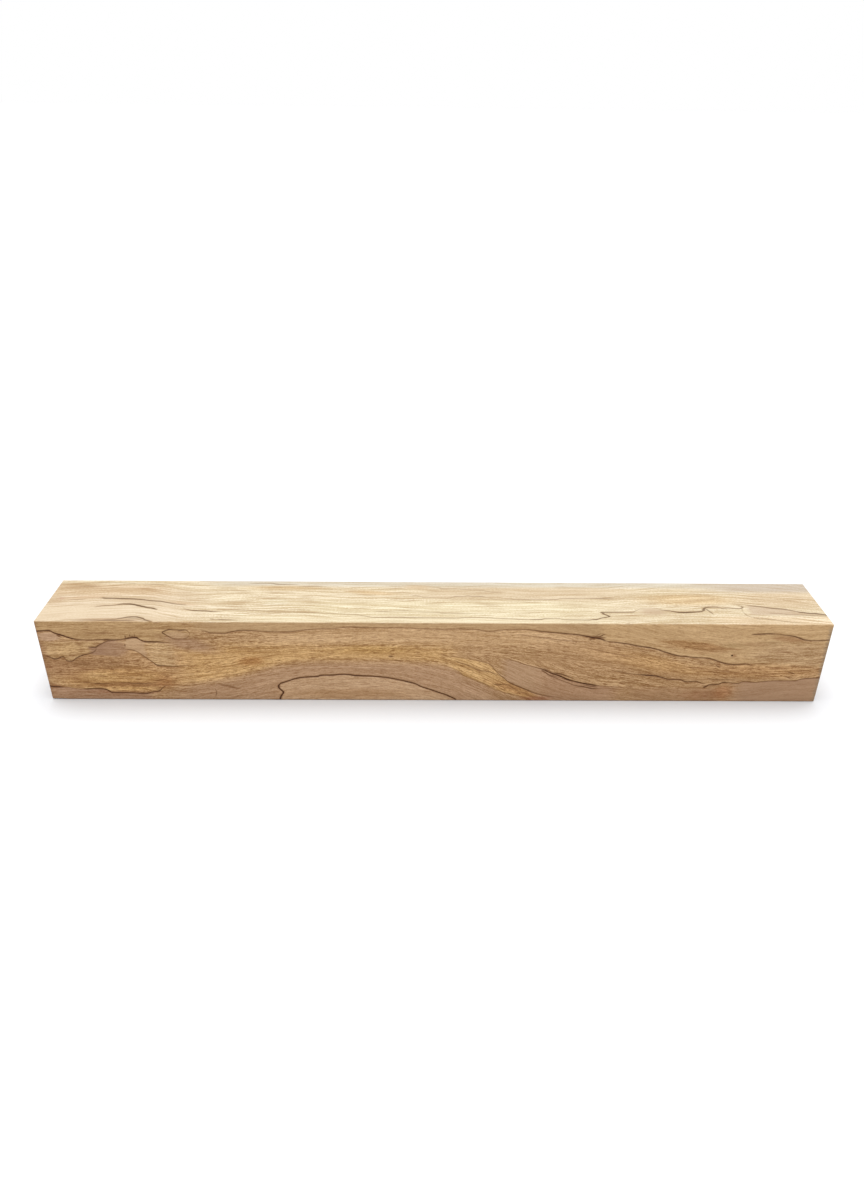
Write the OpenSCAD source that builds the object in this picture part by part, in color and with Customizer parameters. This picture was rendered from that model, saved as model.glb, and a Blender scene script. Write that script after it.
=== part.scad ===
// Square spindle blank: one stick of spalted hardwood, sawn square, sanded on
// its long faces and crosscut at its ends, ready to go between lathe centres.
// X runs along the grain, -Y is the front face, and Z is up. The origin is the
// middle of the face that the stick lies on.

/* [Stick] */
// Length along the grain
length = 450; // [200:1:900]
// Width of the section, front to back
width = 52; // [30:0.5:100]
// Height of the section
height = 52; // [30:0.5:100]
// Width taken off each edge by sanding, measured along the face
arris = 0.5; // [0.2:0.1:2]

/* [Pin hole] */
// Diameter of the beetle's pin hole in the front face
pin_hole_d = 1; // [0.6:0.1:2]
// Depth of the pin hole
pin_hole_depth = 6; // [2:0.5:15]
// Distance of the pin hole from the right-hand end
pin_hole_from_end = 54.5; // [10:0.5:100]
// Distance of the pin hole below the top face
pin_hole_below_top = 20.5; // [5:0.5:25]

/* [Drying checks] */
// Width of a check at its middle
check_width = 0.5; // [0.2:0.05:1]
// Depth of a check below the front face
check_depth = 1.5; // [0.5:0.1:5]
// Length of the upper check
upper_check_length = 12; // [6:0.5:14]
// Length of the lower check
lower_check_length = 12; // [6:0.5:14]
// Distance of the upper check's middle from the right-hand end
upper_check_from_end = 151; // [120:0.5:170]
// Height of the upper check's middle above the resting face
upper_check_height = 16.5; // [8:0.5:22]
// Distance from the upper check's middle to the lower one's, along the stick
checks_apart = 14; // [8:0.5:20]
// Drop from the upper check's middle to the lower one's
checks_drop = 4.5; // [1:0.5:6]
// Slope of the upper check, in degrees down to the right
upper_check_slope = 23; // [0:1:30]
// Slope of the lower check, in degrees down to the right
lower_check_slope = 12; // [0:1:30]

/* [Hidden] */

// How far a cutter stands out of the face that it cuts
overrun = 1;
// Where a check's shoulders lie, as a share of its half length
shoulder = 0.45;
// Width of a check at its shoulders, as a share of its width at the middle
shoulder_width = 0.75;
round_sides = 48;

// A rectangle with its corners taken off, centred on the origin
module eased_rectangle(across, up) {
    x = across / 2;
    y = up / 2;
    e = arris;
    polygon([
        [x, e - y], [x, y - e], [x - e, y], [e - x, y],
        [-x, y - e], [-x, e - y], [e - x, -y], [x - e, -y]
    ]);
}

// The sawn and sanded stick with all twelve edges eased
module sawn_stick() {
    translate([0, 0, height / 2]) {
        intersection() {
            linear_extrude(height, center = true) eased_rectangle(length, width);
            rotate([90, 0, 0]) linear_extrude(width, center = true) eased_rectangle(length, height);
            rotate([90, 0, 90]) linear_extrude(length, center = true) eased_rectangle(width, height);
        }
    }
}

// Carries its children from the front face's right-hand bottom corner, with X
// back along the face, Y up it and -Z into the wood
module on_front_face(from_end, above) {
    translate([length / 2 - from_end, -width / 2, above]) rotate([90, 0, 0]) children();
}

// A round hole bored straight in
module pin_hole() {
    on_front_face(pin_hole_from_end, height - pin_hole_below_top) {
        translate([0, 0, -pin_hole_depth])
            cylinder(h = pin_hole_depth + overrun, d = pin_hole_d, $fn = round_sides);
    }
}

// A split along the grain: a slim lens at its mouth, closed at both tips
module drying_check(from_end, above, long, slope) {
    tip = long / 2;
    side = shoulder * tip;
    half = check_width / 2;
    narrow = shoulder_width * half;
    on_front_face(from_end, above) {
        translate([0, 0, -check_depth]) linear_extrude(check_depth + overrun) rotate(-slope) polygon([
            [tip, 0], [side, narrow], [0, half], [-side, narrow],
            [-tip, 0], [-side, -narrow], [0, -half], [side, -narrow]
        ]);
    }
}

module turning_blank() {
    color("burlywood") difference() {
        sawn_stick();
        pin_hole();
        drying_check(upper_check_from_end, upper_check_height, upper_check_length, upper_check_slope);
        drying_check(
            upper_check_from_end - checks_apart,
            upper_check_height - checks_drop,
            lower_check_length,
            lower_check_slope
        );
    }
}

turning_blank();
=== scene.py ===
import math

import bpy
from mathutils import Matrix, Vector


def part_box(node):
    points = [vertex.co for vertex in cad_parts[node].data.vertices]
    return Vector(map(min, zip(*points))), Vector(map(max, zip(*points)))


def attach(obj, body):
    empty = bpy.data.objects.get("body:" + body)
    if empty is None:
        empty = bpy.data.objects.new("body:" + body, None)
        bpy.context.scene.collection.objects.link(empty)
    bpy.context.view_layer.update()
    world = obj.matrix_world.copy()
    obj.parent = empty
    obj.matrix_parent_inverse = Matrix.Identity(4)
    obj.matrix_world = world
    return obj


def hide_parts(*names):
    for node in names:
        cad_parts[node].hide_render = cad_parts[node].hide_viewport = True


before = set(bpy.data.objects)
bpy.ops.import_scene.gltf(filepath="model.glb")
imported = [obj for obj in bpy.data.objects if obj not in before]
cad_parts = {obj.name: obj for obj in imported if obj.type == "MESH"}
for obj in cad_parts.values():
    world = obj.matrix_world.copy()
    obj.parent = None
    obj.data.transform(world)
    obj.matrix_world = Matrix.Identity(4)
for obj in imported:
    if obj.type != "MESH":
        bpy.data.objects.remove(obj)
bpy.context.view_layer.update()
MM = 0.001

# Camera. The stick is seen from in front and above, a little left of its middle, by a telephone held about
# half a metre away. The picture was extended upwards, so the lens axis meets it below its middle.

PICTURE_HEIGHT = 1184
FOCAL_LENGTH_IN_PIXELS = 942
LENS_AXIS_ROW = 678.7
SENSOR_LONG_SIDE = 36

camera_data = bpy.data.cameras.new("camera")
camera_data.sensor_fit = "AUTO"
camera_data.sensor_width = SENSOR_LONG_SIDE
camera_data.lens = SENSOR_LONG_SIDE * FOCAL_LENGTH_IN_PIXELS / PICTURE_HEIGHT
camera_data.shift_y = (LENS_AXIS_ROW - PICTURE_HEIGHT / 2) / PICTURE_HEIGHT
camera_data.clip_start = 0.01
camera = bpy.data.objects.new("camera", camera_data)
bpy.context.scene.collection.objects.link(camera)

turned_right = math.radians(0.98)
tilted_down = math.radians(32.03)
rolled = math.radians(-0.73)
camera.location = Vector((-10.0, -490.8, 305.9)) * MM
camera.rotation_euler = (
    Matrix.Rotation(-turned_right, 3, "Z")
    @ Matrix.Rotation(math.pi / 2 - tilted_down, 3, "X")
    @ Matrix.Rotation(-rolled, 3, "Z")
).to_euler()
bpy.context.scene.camera = camera
bpy.context.scene.view_settings.view_transform = "Standard"

# Floor and light. A seamless pale floor under an even white sky, with one broad soft lamp overhead, so that
# the top of the stick is bright, its front is in soft shade and the floor round it is nearly white.

FLOOR_SIZE = 40.0
FLOOR_COLOUR = (0.622, 0.63, 0.645, 1)
SKY_STRENGTH = 1.0
LAMP_STRENGTH = 2.8
LAMP_SPREAD = math.radians(50)
LAMP_TILT = math.radians(-8)

bpy.ops.object.select_all(action="DESELECT")
bpy.ops.mesh.primitive_plane_add(size=FLOOR_SIZE)
floor = bpy.context.object
floor.name = "floor"
floor_paint = bpy.data.materials.new("floor paint")
floor_paint.use_nodes = True
floor_shader = floor_paint.node_tree.nodes["Principled BSDF"]
floor_shader.inputs["Base Color"].default_value = FLOOR_COLOUR
floor_shader.inputs["Roughness"].default_value = 0.9
floor_shader.inputs["Specular IOR Level"].default_value = 0.0
floor.data.materials.append(floor_paint)

sky = bpy.data.worlds.new("sky")
sky.use_nodes = True
sky.node_tree.nodes["Background"].inputs["Color"].default_value = (1, 1, 1, 1)
sky.node_tree.nodes["Background"].inputs["Strength"].default_value = SKY_STRENGTH
bpy.context.scene.world = sky

lamp_data = bpy.data.lights.new("overhead lamp", "SUN")
lamp_data.energy = LAMP_STRENGTH
lamp_data.angle = LAMP_SPREAD
lamp = bpy.data.objects.new("overhead lamp", lamp_data)
lamp.location = (0, 0, 2)
lamp.rotation_euler = (LAMP_TILT, 0, 0)
bpy.context.scene.collection.objects.link(lamp)

# The stick. One square length of hardwood, ripped on a saw table, sanded on its four long faces with the
# edges just eased, and crosscut at both ends. Its front has a beetle's pin hole and two drying checks.

stick_low, stick_high = (Vector(corner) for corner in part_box("turning_blank"))
stick_size = stick_high - stick_low
stick_middle = (stick_low + stick_high) / 2
ARRIS = 0.5 * MM
ARRIS_STEPS = 4
LENGTHWISE_CUTS = 44


def select_only(thing):
    """Makes one object the selected and active one."""
    bpy.ops.object.select_all(action="DESELECT")
    thing.select_set(True)
    bpy.context.view_layer.objects.active = thing


bpy.ops.object.select_all(action="DESELECT")
bpy.ops.mesh.primitive_cube_add(size=1, location=stick_middle)
stick = bpy.context.object
stick.name = "spalted_stick"
bpy.ops.object.mode_set(mode="EDIT")
bpy.ops.mesh.select_mode(type="EDGE")
bpy.ops.mesh.select_all(action="SELECT")
bpy.ops.transform.resize(value=stick_size)
bpy.ops.mesh.select_all(action="DESELECT")
bpy.ops.object.mode_set(mode="OBJECT")
for edge in stick.data.edges:
    near, far = (stick.data.vertices[corner].co for corner in edge.vertices)
    edge.select = abs(near.x - far.x) > stick_size.x / 2
bpy.ops.object.mode_set(mode="EDIT")
bpy.ops.mesh.subdivide(number_cuts=LENGTHWISE_CUTS)
bpy.ops.object.mode_set(mode="OBJECT")
bpy.ops.object.transform_apply(location=True, rotation=True, scale=True)

eased_edges = stick.modifiers.new("edges eased by sanding", "BEVEL")
eased_edges.width = ARRIS
eased_edges.segments = ARRIS_STEPS
eased_edges.limit_method = "ANGLE"
bpy.ops.object.modifier_apply(modifier=eased_edges.name)


def cut_away(cutter):
    """Takes a cutter's shape out of the stick and removes the cutter."""
    select_only(stick)
    cut = stick.modifiers.new("cut", "BOOLEAN")
    cut.operation = "DIFFERENCE"
    cut.solver = "EXACT"
    cut.object = cutter
    bpy.ops.object.modifier_apply(modifier=cut.name)
    bpy.data.objects.remove(cutter)


# The pin hole, bored straight in by a beetle: from the right-hand end, below the top face, and its size.
PIN_HOLE = {"from_end": 54.5 * MM, "below_top": 20.5 * MM, "width": 1.0 * MM, "depth": 6.0 * MM}

bpy.ops.object.select_all(action="DESELECT")
bpy.ops.mesh.primitive_cylinder_add(
    vertices=24,
    radius=PIN_HOLE["width"] / 2,
    depth=PIN_HOLE["depth"] * 2,
    location=(stick_high.x - PIN_HOLE["from_end"], stick_low.y, stick_high.z - PIN_HOLE["below_top"]),
    rotation=(math.pi / 2, 0, 0),
)
cut_away(bpy.context.object)

# The checks: slim lens-shaped splits that nearly close inside the wood. Each has its middle from the
# right-hand end and above the floor, and its slope down to the right.
CHECK_LENGTH = 12 * MM
CHECK_WIDTH = 0.5 * MM
CHECK_DEPTH = 1.5 * MM
WIDTH_LEFT_INSIDE = 0.15
CHECKS = [
    {"from_end": 151 * MM, "above_floor": 16.5 * MM, "slope": math.radians(23)},
    {"from_end": 137 * MM, "above_floor": 12.0 * MM, "slope": math.radians(12)},
]

for check in CHECKS:
    middle = Vector((stick_high.x - check["from_end"], stick_low.y, check["above_floor"]))
    bpy.ops.object.select_all(action="DESELECT")
    bpy.ops.mesh.primitive_cylinder_add(vertices=12, radius=0.5, depth=2, location=middle)
    blade = bpy.context.object
    bpy.ops.object.mode_set(mode="EDIT")
    bpy.ops.mesh.select_all(action="SELECT")
    bpy.ops.transform.resize(value=(CHECK_LENGTH, CHECK_WIDTH, CHECK_DEPTH))
    bpy.ops.object.mode_set(mode="OBJECT")
    for vertex in blade.data.vertices:
        if vertex.co.z < 0:
            vertex.co.y *= WIDTH_LEFT_INSIDE
    blade.rotation_euler = Matrix.Rotation(math.pi / 2, 3, "X").to_euler()
    blade.rotation_euler.rotate(Matrix.Rotation(check["slope"], 3, "Y"))
    cut_away(blade)

# Handling has worn the eased edges unevenly, and the stick was once set down on its front left-hand corner.
WEAR = 0.14 * MM
WEAR_LENGTH = 12 * MM
KNOCK = 0.45 * MM
KNOCK_REACH = 3.0 * MM
DEEPEST_OF_ARRIS = 0.15 * MM

select_only(stick)
worn = stick.vertex_groups.new(name="worn edges")
knocked = stick.vertex_groups.new(name="knocked corner")
knocked_corner = Vector((stick_low.x, stick_low.y, stick_low.z))
for vertex in stick.data.vertices:
    depths = sorted(
        min(vertex.co[axis] - stick_low[axis], stick_high[axis] - vertex.co[axis]) for axis in range(3)
    )
    worn.add([vertex.index], min(1.0, depths[0] / DEEPEST_OF_ARRIS) if depths[1] < ARRIS else 0.0, "REPLACE")
    nearness = 1 - (vertex.co - knocked_corner).length / KNOCK_REACH
    knocked.add([vertex.index], max(0.0, nearness), "REPLACE")
wear_pattern = bpy.data.textures.new("wear pattern", "CLOUDS")
wear_pattern.noise_scale = WEAR_LENGTH
for name, group, depth, pattern in (
    ("worn edges", worn, WEAR, wear_pattern),
    ("knocked corner", knocked, KNOCK, None),
):
    pressed_in = stick.modifiers.new(name, "DISPLACE")
    pressed_in.vertex_group = group.name
    pressed_in.texture = pattern
    pressed_in.mid_level = 0
    pressed_in.strength = -depth
    bpy.ops.object.modifier_apply(modifier=pressed_in.name)
stick.vertex_groups.clear()

bpy.ops.object.shade_smooth_by_angle(angle=math.radians(30))
flat = stick.modifiers.new("flat faces stay flat", "WEIGHTED_NORMAL")
flat.keep_sharp = True
bpy.ops.object.modifier_apply(modifier=flat.name)

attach(stick, "root")
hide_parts("turning_blank")

# The wood. A pale hardwood that fungi have stained while the log lay damp: tan, golden and mauve zones,
# parted by thin black-brown lines. Its faces share the grain, the stains and the zone lines that are made
# here as node groups.


def add_node(tree, kind, **settings):
    """Adds a node and gives it its settings."""
    made = tree.nodes.new(kind)
    for name, value in settings.items():
        setattr(made, name, value)
    return made


def feed(tree, socket, value):
    """Links an output to a socket, or puts a plain value in the socket."""
    if isinstance(value, bpy.types.NodeSocket):
        tree.links.new(value, socket)
    else:
        socket.default_value = value


def maths(tree, operation, *values, clamp=False):
    """One step of arithmetic on numbers or sockets."""
    made = add_node(tree, "ShaderNodeMath", operation=operation, use_clamp=clamp)
    for socket, value in zip(made.inputs, values):
        feed(tree, socket, value)
    return made.outputs[0]


def eased(tree, value, low, high, from_value=0.0, to_value=1.0):
    """Rises smoothly from one value to another while the input goes from low to high."""
    made = add_node(tree, "ShaderNodeMapRange", interpolation_type="SMOOTHSTEP", clamp=False)
    for name, given in (
        ("Value", value),
        ("From Min", low),
        ("From Max", high),
        ("To Min", from_value),
        ("To Max", to_value),
    ):
        feed(tree, made.inputs[name], given)
    return made.outputs["Result"]


def blended(tree, share, first, second, how="MIX"):
    """Mixes two colours."""
    made = add_node(tree, "ShaderNodeMix", data_type="RGBA", blend_type=how)
    feed(tree, made.inputs[0], share)
    feed(tree, made.inputs[6], first)
    feed(tree, made.inputs[7], second)
    return made.outputs[2]


def joined(tree, x, y, z=0.0):
    """A vector of three numbers or sockets."""
    made = add_node(tree, "ShaderNodeCombineXYZ")
    for socket, value in zip(made.inputs, (x, y, z)):
        feed(tree, socket, value)
    return made.outputs[0]


def noise(tree, place, size, detail=2.0, roughness=0.5):
    """Soft noise from 0 to 1, whose blotches are about size = (along, across, deep) mm."""
    stretched = add_node(tree, "ShaderNodeVectorMath", operation="DIVIDE")
    feed(tree, stretched.inputs[0], place)
    stretched.inputs[1].default_value = size
    made = add_node(tree, "ShaderNodeTexNoise")
    feed(tree, made.inputs["Vector"], stretched.outputs[0])
    made.inputs["Scale"].default_value = 1.0
    made.inputs["Detail"].default_value = detail
    made.inputs["Roughness"].default_value = roughness
    return eased(tree, made.outputs[0], 0.2, 0.8)


def shaken(tree, place, size, reach):
    """The three numbers of a place that a noise shifts by about reach = (along, across, deep) mm."""
    stretched = add_node(tree, "ShaderNodeVectorMath", operation="DIVIDE")
    feed(tree, stretched.inputs[0], place)
    stretched.inputs[1].default_value = size
    blotches = add_node(tree, "ShaderNodeTexNoise")
    feed(tree, blotches.inputs["Vector"], stretched.outputs[0])
    blotches.inputs["Scale"].default_value = 1.0
    blotches.inputs["Detail"].default_value = 3.0
    blotches.inputs["Roughness"].default_value = 0.65
    centred = add_node(tree, "ShaderNodeVectorMath", operation="SUBTRACT")
    feed(tree, centred.inputs[0], blotches.outputs["Color"])
    centred.inputs[1].default_value = (0.5, 0.5, 0.5)
    moved = add_node(tree, "ShaderNodeVectorMath", operation="MULTIPLY_ADD")
    feed(tree, moved.inputs[0], centred.outputs[0])
    moved.inputs[1].default_value = [2 * part for part in reach]
    feed(tree, moved.inputs[2], place)
    parts = add_node(tree, "ShaderNodeSeparateXYZ")
    feed(tree, parts.inputs[0], moved.outputs[0])
    return parts.outputs


def new_group(name, inputs, outputs):
    """A shader node group with number inputs and outputs, and the sockets inside it."""
    group = bpy.data.node_groups.new(name, "ShaderNodeTree")
    for socket_name, default in inputs.items():
        group.interface.new_socket(
            socket_name, in_out="INPUT", socket_type="NodeSocketFloat"
        ).default_value = default
    for socket_name in outputs:
        group.interface.new_socket(socket_name, in_out="OUTPUT", socket_type="NodeSocketFloat")
    return group, group.nodes.new("NodeGroupInput").outputs, group.nodes.new("NodeGroupOutput").inputs


def placed(tree, group, **values):
    """Puts a group in a tree with its inputs by name, and returns its outputs."""
    made = add_node(tree, "ShaderNodeGroup", node_tree=group)
    for name, value in values.items():
        feed(tree, made.inputs[name.replace("_", " ")], value)
    return made.outputs


# Grain: streaks of denser and paler fibre of four sizes, drawn out along the stick, that wander a little.
grain_group, given, result = new_group(
    "wood grain", {"Along": 0, "Across": 0, "Deep": 0, "Drawn Out": 1}, ["Broad", "Fine", "Dashes", "Fibres"]
)
wander = joined(grain_group, given["Along"], given["Across"], given["Deep"])
wander = noise(grain_group, wander, (60, 12, 30), 1)
quiver = joined(grain_group, given["Along"], given["Across"], given["Deep"])
quiver = noise(grain_group, quiver, (11, 2.5, 6), 1)
across = maths(grain_group, "MULTIPLY_ADD", wander, 2.6, given["Across"])
across = maths(grain_group, "MULTIPLY_ADD", quiver, 0.45, across)
fibre = joined(grain_group, given["Along"], across, given["Deep"])
feed(grain_group, result["Fibres"], noise(grain_group, fibre, (1.1, 0.4, 0.6), 2, 0.6))
drawn_out = maths(grain_group, "DIVIDE", given["Along"], given["Drawn Out"])
strand = joined(grain_group, drawn_out, across, given["Deep"])
feed(grain_group, result["Broad"], noise(grain_group, strand, (70, 2.4, 14), 2, 0.55))
feed(grain_group, result["Fine"], noise(grain_group, strand, (20, 0.9, 4), 1.6, 0.9))
dash = noise(grain_group, strand, (5.0, 0.36, 2), 1, 0.5)
feed(grain_group, result["Dashes"], eased(grain_group, dash, 0.56, 0.78))

# Zone line: the thin dark wall that a fungus builds round its territory, in small steps along the fibres.
line_group, given, result = new_group(
    "zone line", {"Across": 0, "Course": 0, "Darkness": 0, "Half Width": 0.4}, ["Line", "Halo"]
)
off_course = maths(line_group, "ABSOLUTE", maths(line_group, "SUBTRACT", given["Across"], given["Course"]))
breadth = maths(line_group, "MULTIPLY_ADD", given["Darkness"], 0.6, 0.55)
breadth = maths(line_group, "MULTIPLY", breadth, given["Half Width"])
off_course = maths(line_group, "DIVIDE", off_course, breadth)
core = eased(line_group, off_course, 0.35, 1.25, 1, 0)
halo = eased(line_group, off_course, 0.6, 2.5, 0.65, 0)
feed(line_group, result["Line"], maths(line_group, "MULTIPLY", core, given["Darkness"]))
feed(line_group, result["Halo"], maths(line_group, "MULTIPLY", halo, given["Darkness"]))

# Stain: a soft-edged oval of another colour, long with the grain and leaning with it.
stain_group, given, result = new_group(
    "stain",
    {
        "Along": 0,
        "Across": 0,
        "Middle Along": 0,
        "Middle Across": 0,
        "Half Length": 10,
        "Half Height": 3,
        "Slope": 0,
        "Softness": 0.5,
    },
    ["Stain"],
)
along_it = maths(stain_group, "SUBTRACT", given["Along"], given["Middle Along"])
up_it = maths(stain_group, "SUBTRACT", given["Across"], given["Middle Across"])
up_it = maths(stain_group, "SUBTRACT", up_it, maths(stain_group, "MULTIPLY", along_it, given["Slope"]))
along_it = maths(stain_group, "POWER", maths(stain_group, "DIVIDE", along_it, given["Half Length"]), 2)
up_it = maths(stain_group, "POWER", maths(stain_group, "DIVIDE", up_it, given["Half Height"]), 2)
outwards = maths(stain_group, "SQRT", maths(stain_group, "ADD", along_it, up_it))
inner = maths(stain_group, "SUBTRACT", 1, given["Softness"])
outer = maths(stain_group, "ADD", 1, given["Softness"])
feed(stain_group, result["Stain"], eased(stain_group, outwards, inner, outer, 1, 0))

# Band: what lies between two courses, with soft edges above, below and at both ends.
band_group, given, result = new_group(
    "band",
    {
        "Along": 0,
        "Across": 0,
        "Lower": 0,
        "Upper": 52,
        "Softness": 1,
        "Start": -300,
        "End": 300,
        "Fade": 3,
    },
    ["Band"],
)
half_soft = maths(band_group, "MULTIPLY", given["Softness"], 0.5)
lowest = maths(band_group, "SUBTRACT", given["Lower"], half_soft)
highest = maths(band_group, "ADD", given["Upper"], half_soft)
above = eased(band_group, given["Across"], lowest, maths(band_group, "ADD", lowest, given["Softness"]))
fading_up = maths(band_group, "SUBTRACT", highest, given["Softness"])
below = eased(band_group, given["Across"], fading_up, highest, 1, 0)
full_from = maths(band_group, "ADD", given["Start"], given["Fade"])
begun = eased(band_group, given["Along"], given["Start"], full_from)
full_to = maths(band_group, "SUBTRACT", given["End"], given["Fade"])
ended = eased(band_group, given["Along"], full_to, given["End"], 1, 0)
inside = maths(band_group, "MULTIPLY", maths(band_group, "MULTIPLY", above, below), begun)
feed(band_group, result["Band"], maths(band_group, "MULTIPLY", inside, ended))


# How much brighter the front face shows under the lamp and the sky than its paint is.
LIGHT_ON_FRONT = 1.075


def tint(red, green, blue):
    """The paint that shows as a given screen colour, from 0 to 255, under the light on the front face."""
    def linear(part):
        part /= 255
        return part / 12.92 if part <= 0.04045 else ((part + 0.055) / 1.055) ** 2.4

    return [linear(part) / LIGHT_ON_FRONT for part in (red, green, blue)] + [1]


HALF_LENGTH_MM = 225


def new_face(name, turn, corner, ground, misread=0.0, half_width=0.42):
    """Begins the material of one face. Places on it are in mm: along the stick, across the face, and deep.

    Courses near the middle of the stick are given aside by misread mm, and this puts them right.
    """
    material = bpy.data.materials.new(name)
    material.use_nodes = True
    tree = material.node_tree
    to_face = add_node(tree, "ShaderNodeMapping")
    to_face.inputs["Scale"].default_value = (1 / MM, 1 / MM, 1 / MM)
    to_face.inputs["Rotation"].default_value = turn
    to_face.inputs["Location"].default_value = corner
    coordinates = add_node(tree, "ShaderNodeTexCoord")
    feed(tree, to_face.inputs["Vector"], coordinates.outputs["Object"])
    place = to_face.outputs[0]
    along, across, deep = shaken(tree, place, (2.6, 0.8, 2), (0.5, 0.25, 0))
    ragged_along, ragged_across, _ = shaken(tree, place, (6, 1.2, 5), (2.5, 0.8, 0))
    from_middle = maths(tree, "ABSOLUTE", maths(tree, "DIVIDE", along, HALF_LENGTH_MM))
    from_middle = maths(tree, "POWER", from_middle, 2)
    put_right = maths(tree, "MULTIPLY_ADD", from_middle, misread, -misread)
    along = maths(tree, "ADD", along, put_right)
    ragged_along = maths(tree, "ADD", ragged_along, put_right)
    return {
        "material": material,
        "tree": tree,
        "place": place,
        "along": along,
        "across": across,
        "deep": deep,
        "ragged along": ragged_along,
        "ragged across": ragged_across,
        "usual half width": half_width,
        "colour": tint(*ground),
        "calm": 0.0,
        "lines": 0.0,
        "halos": 0.0,
    }


def traced(face, run, points):
    """Smooth curves through points along a run: the course in mm, and the darkness where points have one.

    The front face has so many lines that its material only just fits the room that the renderer has for one.
    So the joining node is made before the curves' node, and dot products read the curves.
    """
    tree = face["tree"]
    start, end = points[0][0], points[-1][0]
    progress = add_node(tree, "ShaderNodeMapRange", clamp=False)
    feed(tree, progress.inputs["Value"], run)
    progress.inputs["From Min"].default_value = start
    progress.inputs["From Max"].default_value = end
    repeated = joined(tree, *[progress.outputs[0]] * 3)
    curves = add_node(tree, "ShaderNodeVectorCurve")
    feed(tree, curves.inputs["Vector"], repeated)
    reach = max(abs(point[1]) for point in points) or 1.0
    for curve, column in zip(curves.mapping.curves, range(1, len(points[0]))):
        scale = reach if column == 1 else 1.0
        places = [((point[0] - start) / (end - start), point[column] / scale) for point in points]
        curve.points[0].location = places[0]
        curve.points[1].location = places[-1]
        for place in places[1:-1]:
            curve.points.new(*place)
        for point in curve.points:
            point.handle_type = "AUTO_CLAMPED"
    curves.mapping.extend = "HORIZONTAL"
    curves.mapping.curves[2].points[0].location = (0, 0)
    if len(points[0]) < 3:
        curves.mapping.curves[1].points[0].location = (0, 0)
    curves.mapping.update()
    read = []
    for weights in ((reach, 0, 0), (0, 1, 0)):
        reading = add_node(tree, "ShaderNodeVectorMath", operation="DOT_PRODUCT")
        feed(tree, reading.inputs[0], curves.outputs[0])
        reading.inputs[1].default_value = weights
        read.append(reading.outputs["Value"])
    return read


def zone_line(face, points, half_width=None, steep=False):
    """Draws a zone line through points of (along, across, darkness), the first two swapped if steep."""
    tree = face["tree"]
    half_width = half_width or face["usual half width"]
    run, rise = (face["across"], face["along"]) if steep else (face["along"], face["across"])
    course, darkness = traced(face, run, points)
    drawn = placed(tree, line_group, Across=rise, Course=course, Darkness=darkness, Half_Width=half_width)
    begun = eased(tree, run, points[0][0] - 0.5, points[0][0] + 0.2)
    ended = eased(tree, run, points[-1][0] - 0.2, points[-1][0] + 0.5, 1, 0)
    length = maths(tree, "MULTIPLY", begun, ended)
    face["lines"] = maths(tree, "MAXIMUM", face["lines"], maths(tree, "MULTIPLY", drawn["Line"], length))
    face["halos"] = maths(tree, "MAXIMUM", face["halos"], maths(tree, "MULTIPLY", drawn["Halo"], length))
    return course


def paint(face, mask, colour, strength=1.0, calm=None):
    """Lays a colour on the face where the mask is, and calms its grain there."""
    tree = face["tree"]
    share = maths(tree, "MULTIPLY", mask, strength)
    face["colour"] = blended(tree, share, face["colour"], tint(*colour))
    if calm is not None:
        calming = add_node(tree, "ShaderNodeMix", data_type="FLOAT")
        feed(tree, calming.inputs[0], share)
        feed(tree, calming.inputs[2], face["calm"])
        calming.inputs[3].default_value = calm
        face["calm"] = calming.outputs[0]


def stain(face, colour, middle, half_size, slope=0.0, softness=0.6, strength=1.0, calm=None, crisp=False):
    """Lays an oval stain on the face, with a ragged edge unless it is a small crisp one."""
    mask = placed(
        face["tree"],
        stain_group,
        Along=face["along" if crisp else "ragged along"],
        Across=face["across" if crisp else "ragged across"],
        Middle_Along=middle[0],
        Middle_Across=middle[1],
        Half_Length=half_size[0],
        Half_Height=half_size[1],
        Slope=slope,
        Softness=softness,
    )["Stain"]
    paint(face, mask, colour, strength, calm)


def stains(face, rows):
    """Lays stain after stain. A row has colour, middle, half size, slope and strength."""
    for colour, middle, half_size, slope, strength in rows:
        stain(face, colour, middle, half_size, slope, strength=strength)


def flecks(face, colour, rows):
    """Small crisp stains. A row has middle and half size, each along and across, then slope and strength."""
    for along, across, half_length, half_height, slope, strength in rows:
        middle, half_size = (along, across), (half_length, half_height)
        stain(face, colour, middle, half_size, slope, softness=0.5, strength=strength, crisp=True)


def band(
    face, colour, above=-6, below=60, start=-300, end=300, fade=4.0, softness=1.5, strength=1.0, calm=None
):
    """Colours what lies above one course and below another. The usual limits lie outside the face."""
    mask = placed(
        face["tree"],
        band_group,
        Along=face["ragged along"],
        Across=face["ragged across"],
        Lower=above,
        Upper=below,
        Softness=softness,
        Start=start,
        End=end,
        Fade=fade,
    )["Band"]
    paint(face, mask, colour, strength, calm)


def grain_along(face, flow, longer=1.0, coarser=1.0):
    """The grain of a face, following a flow course."""
    tree = face["tree"]
    level = maths(tree, "DIVIDE", maths(tree, "SUBTRACT", face["across"], flow), coarser)
    return placed(tree, grain_group, Along=face["along"], Across=level, Deep=face["deep"], Drawn_Out=longer)


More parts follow.
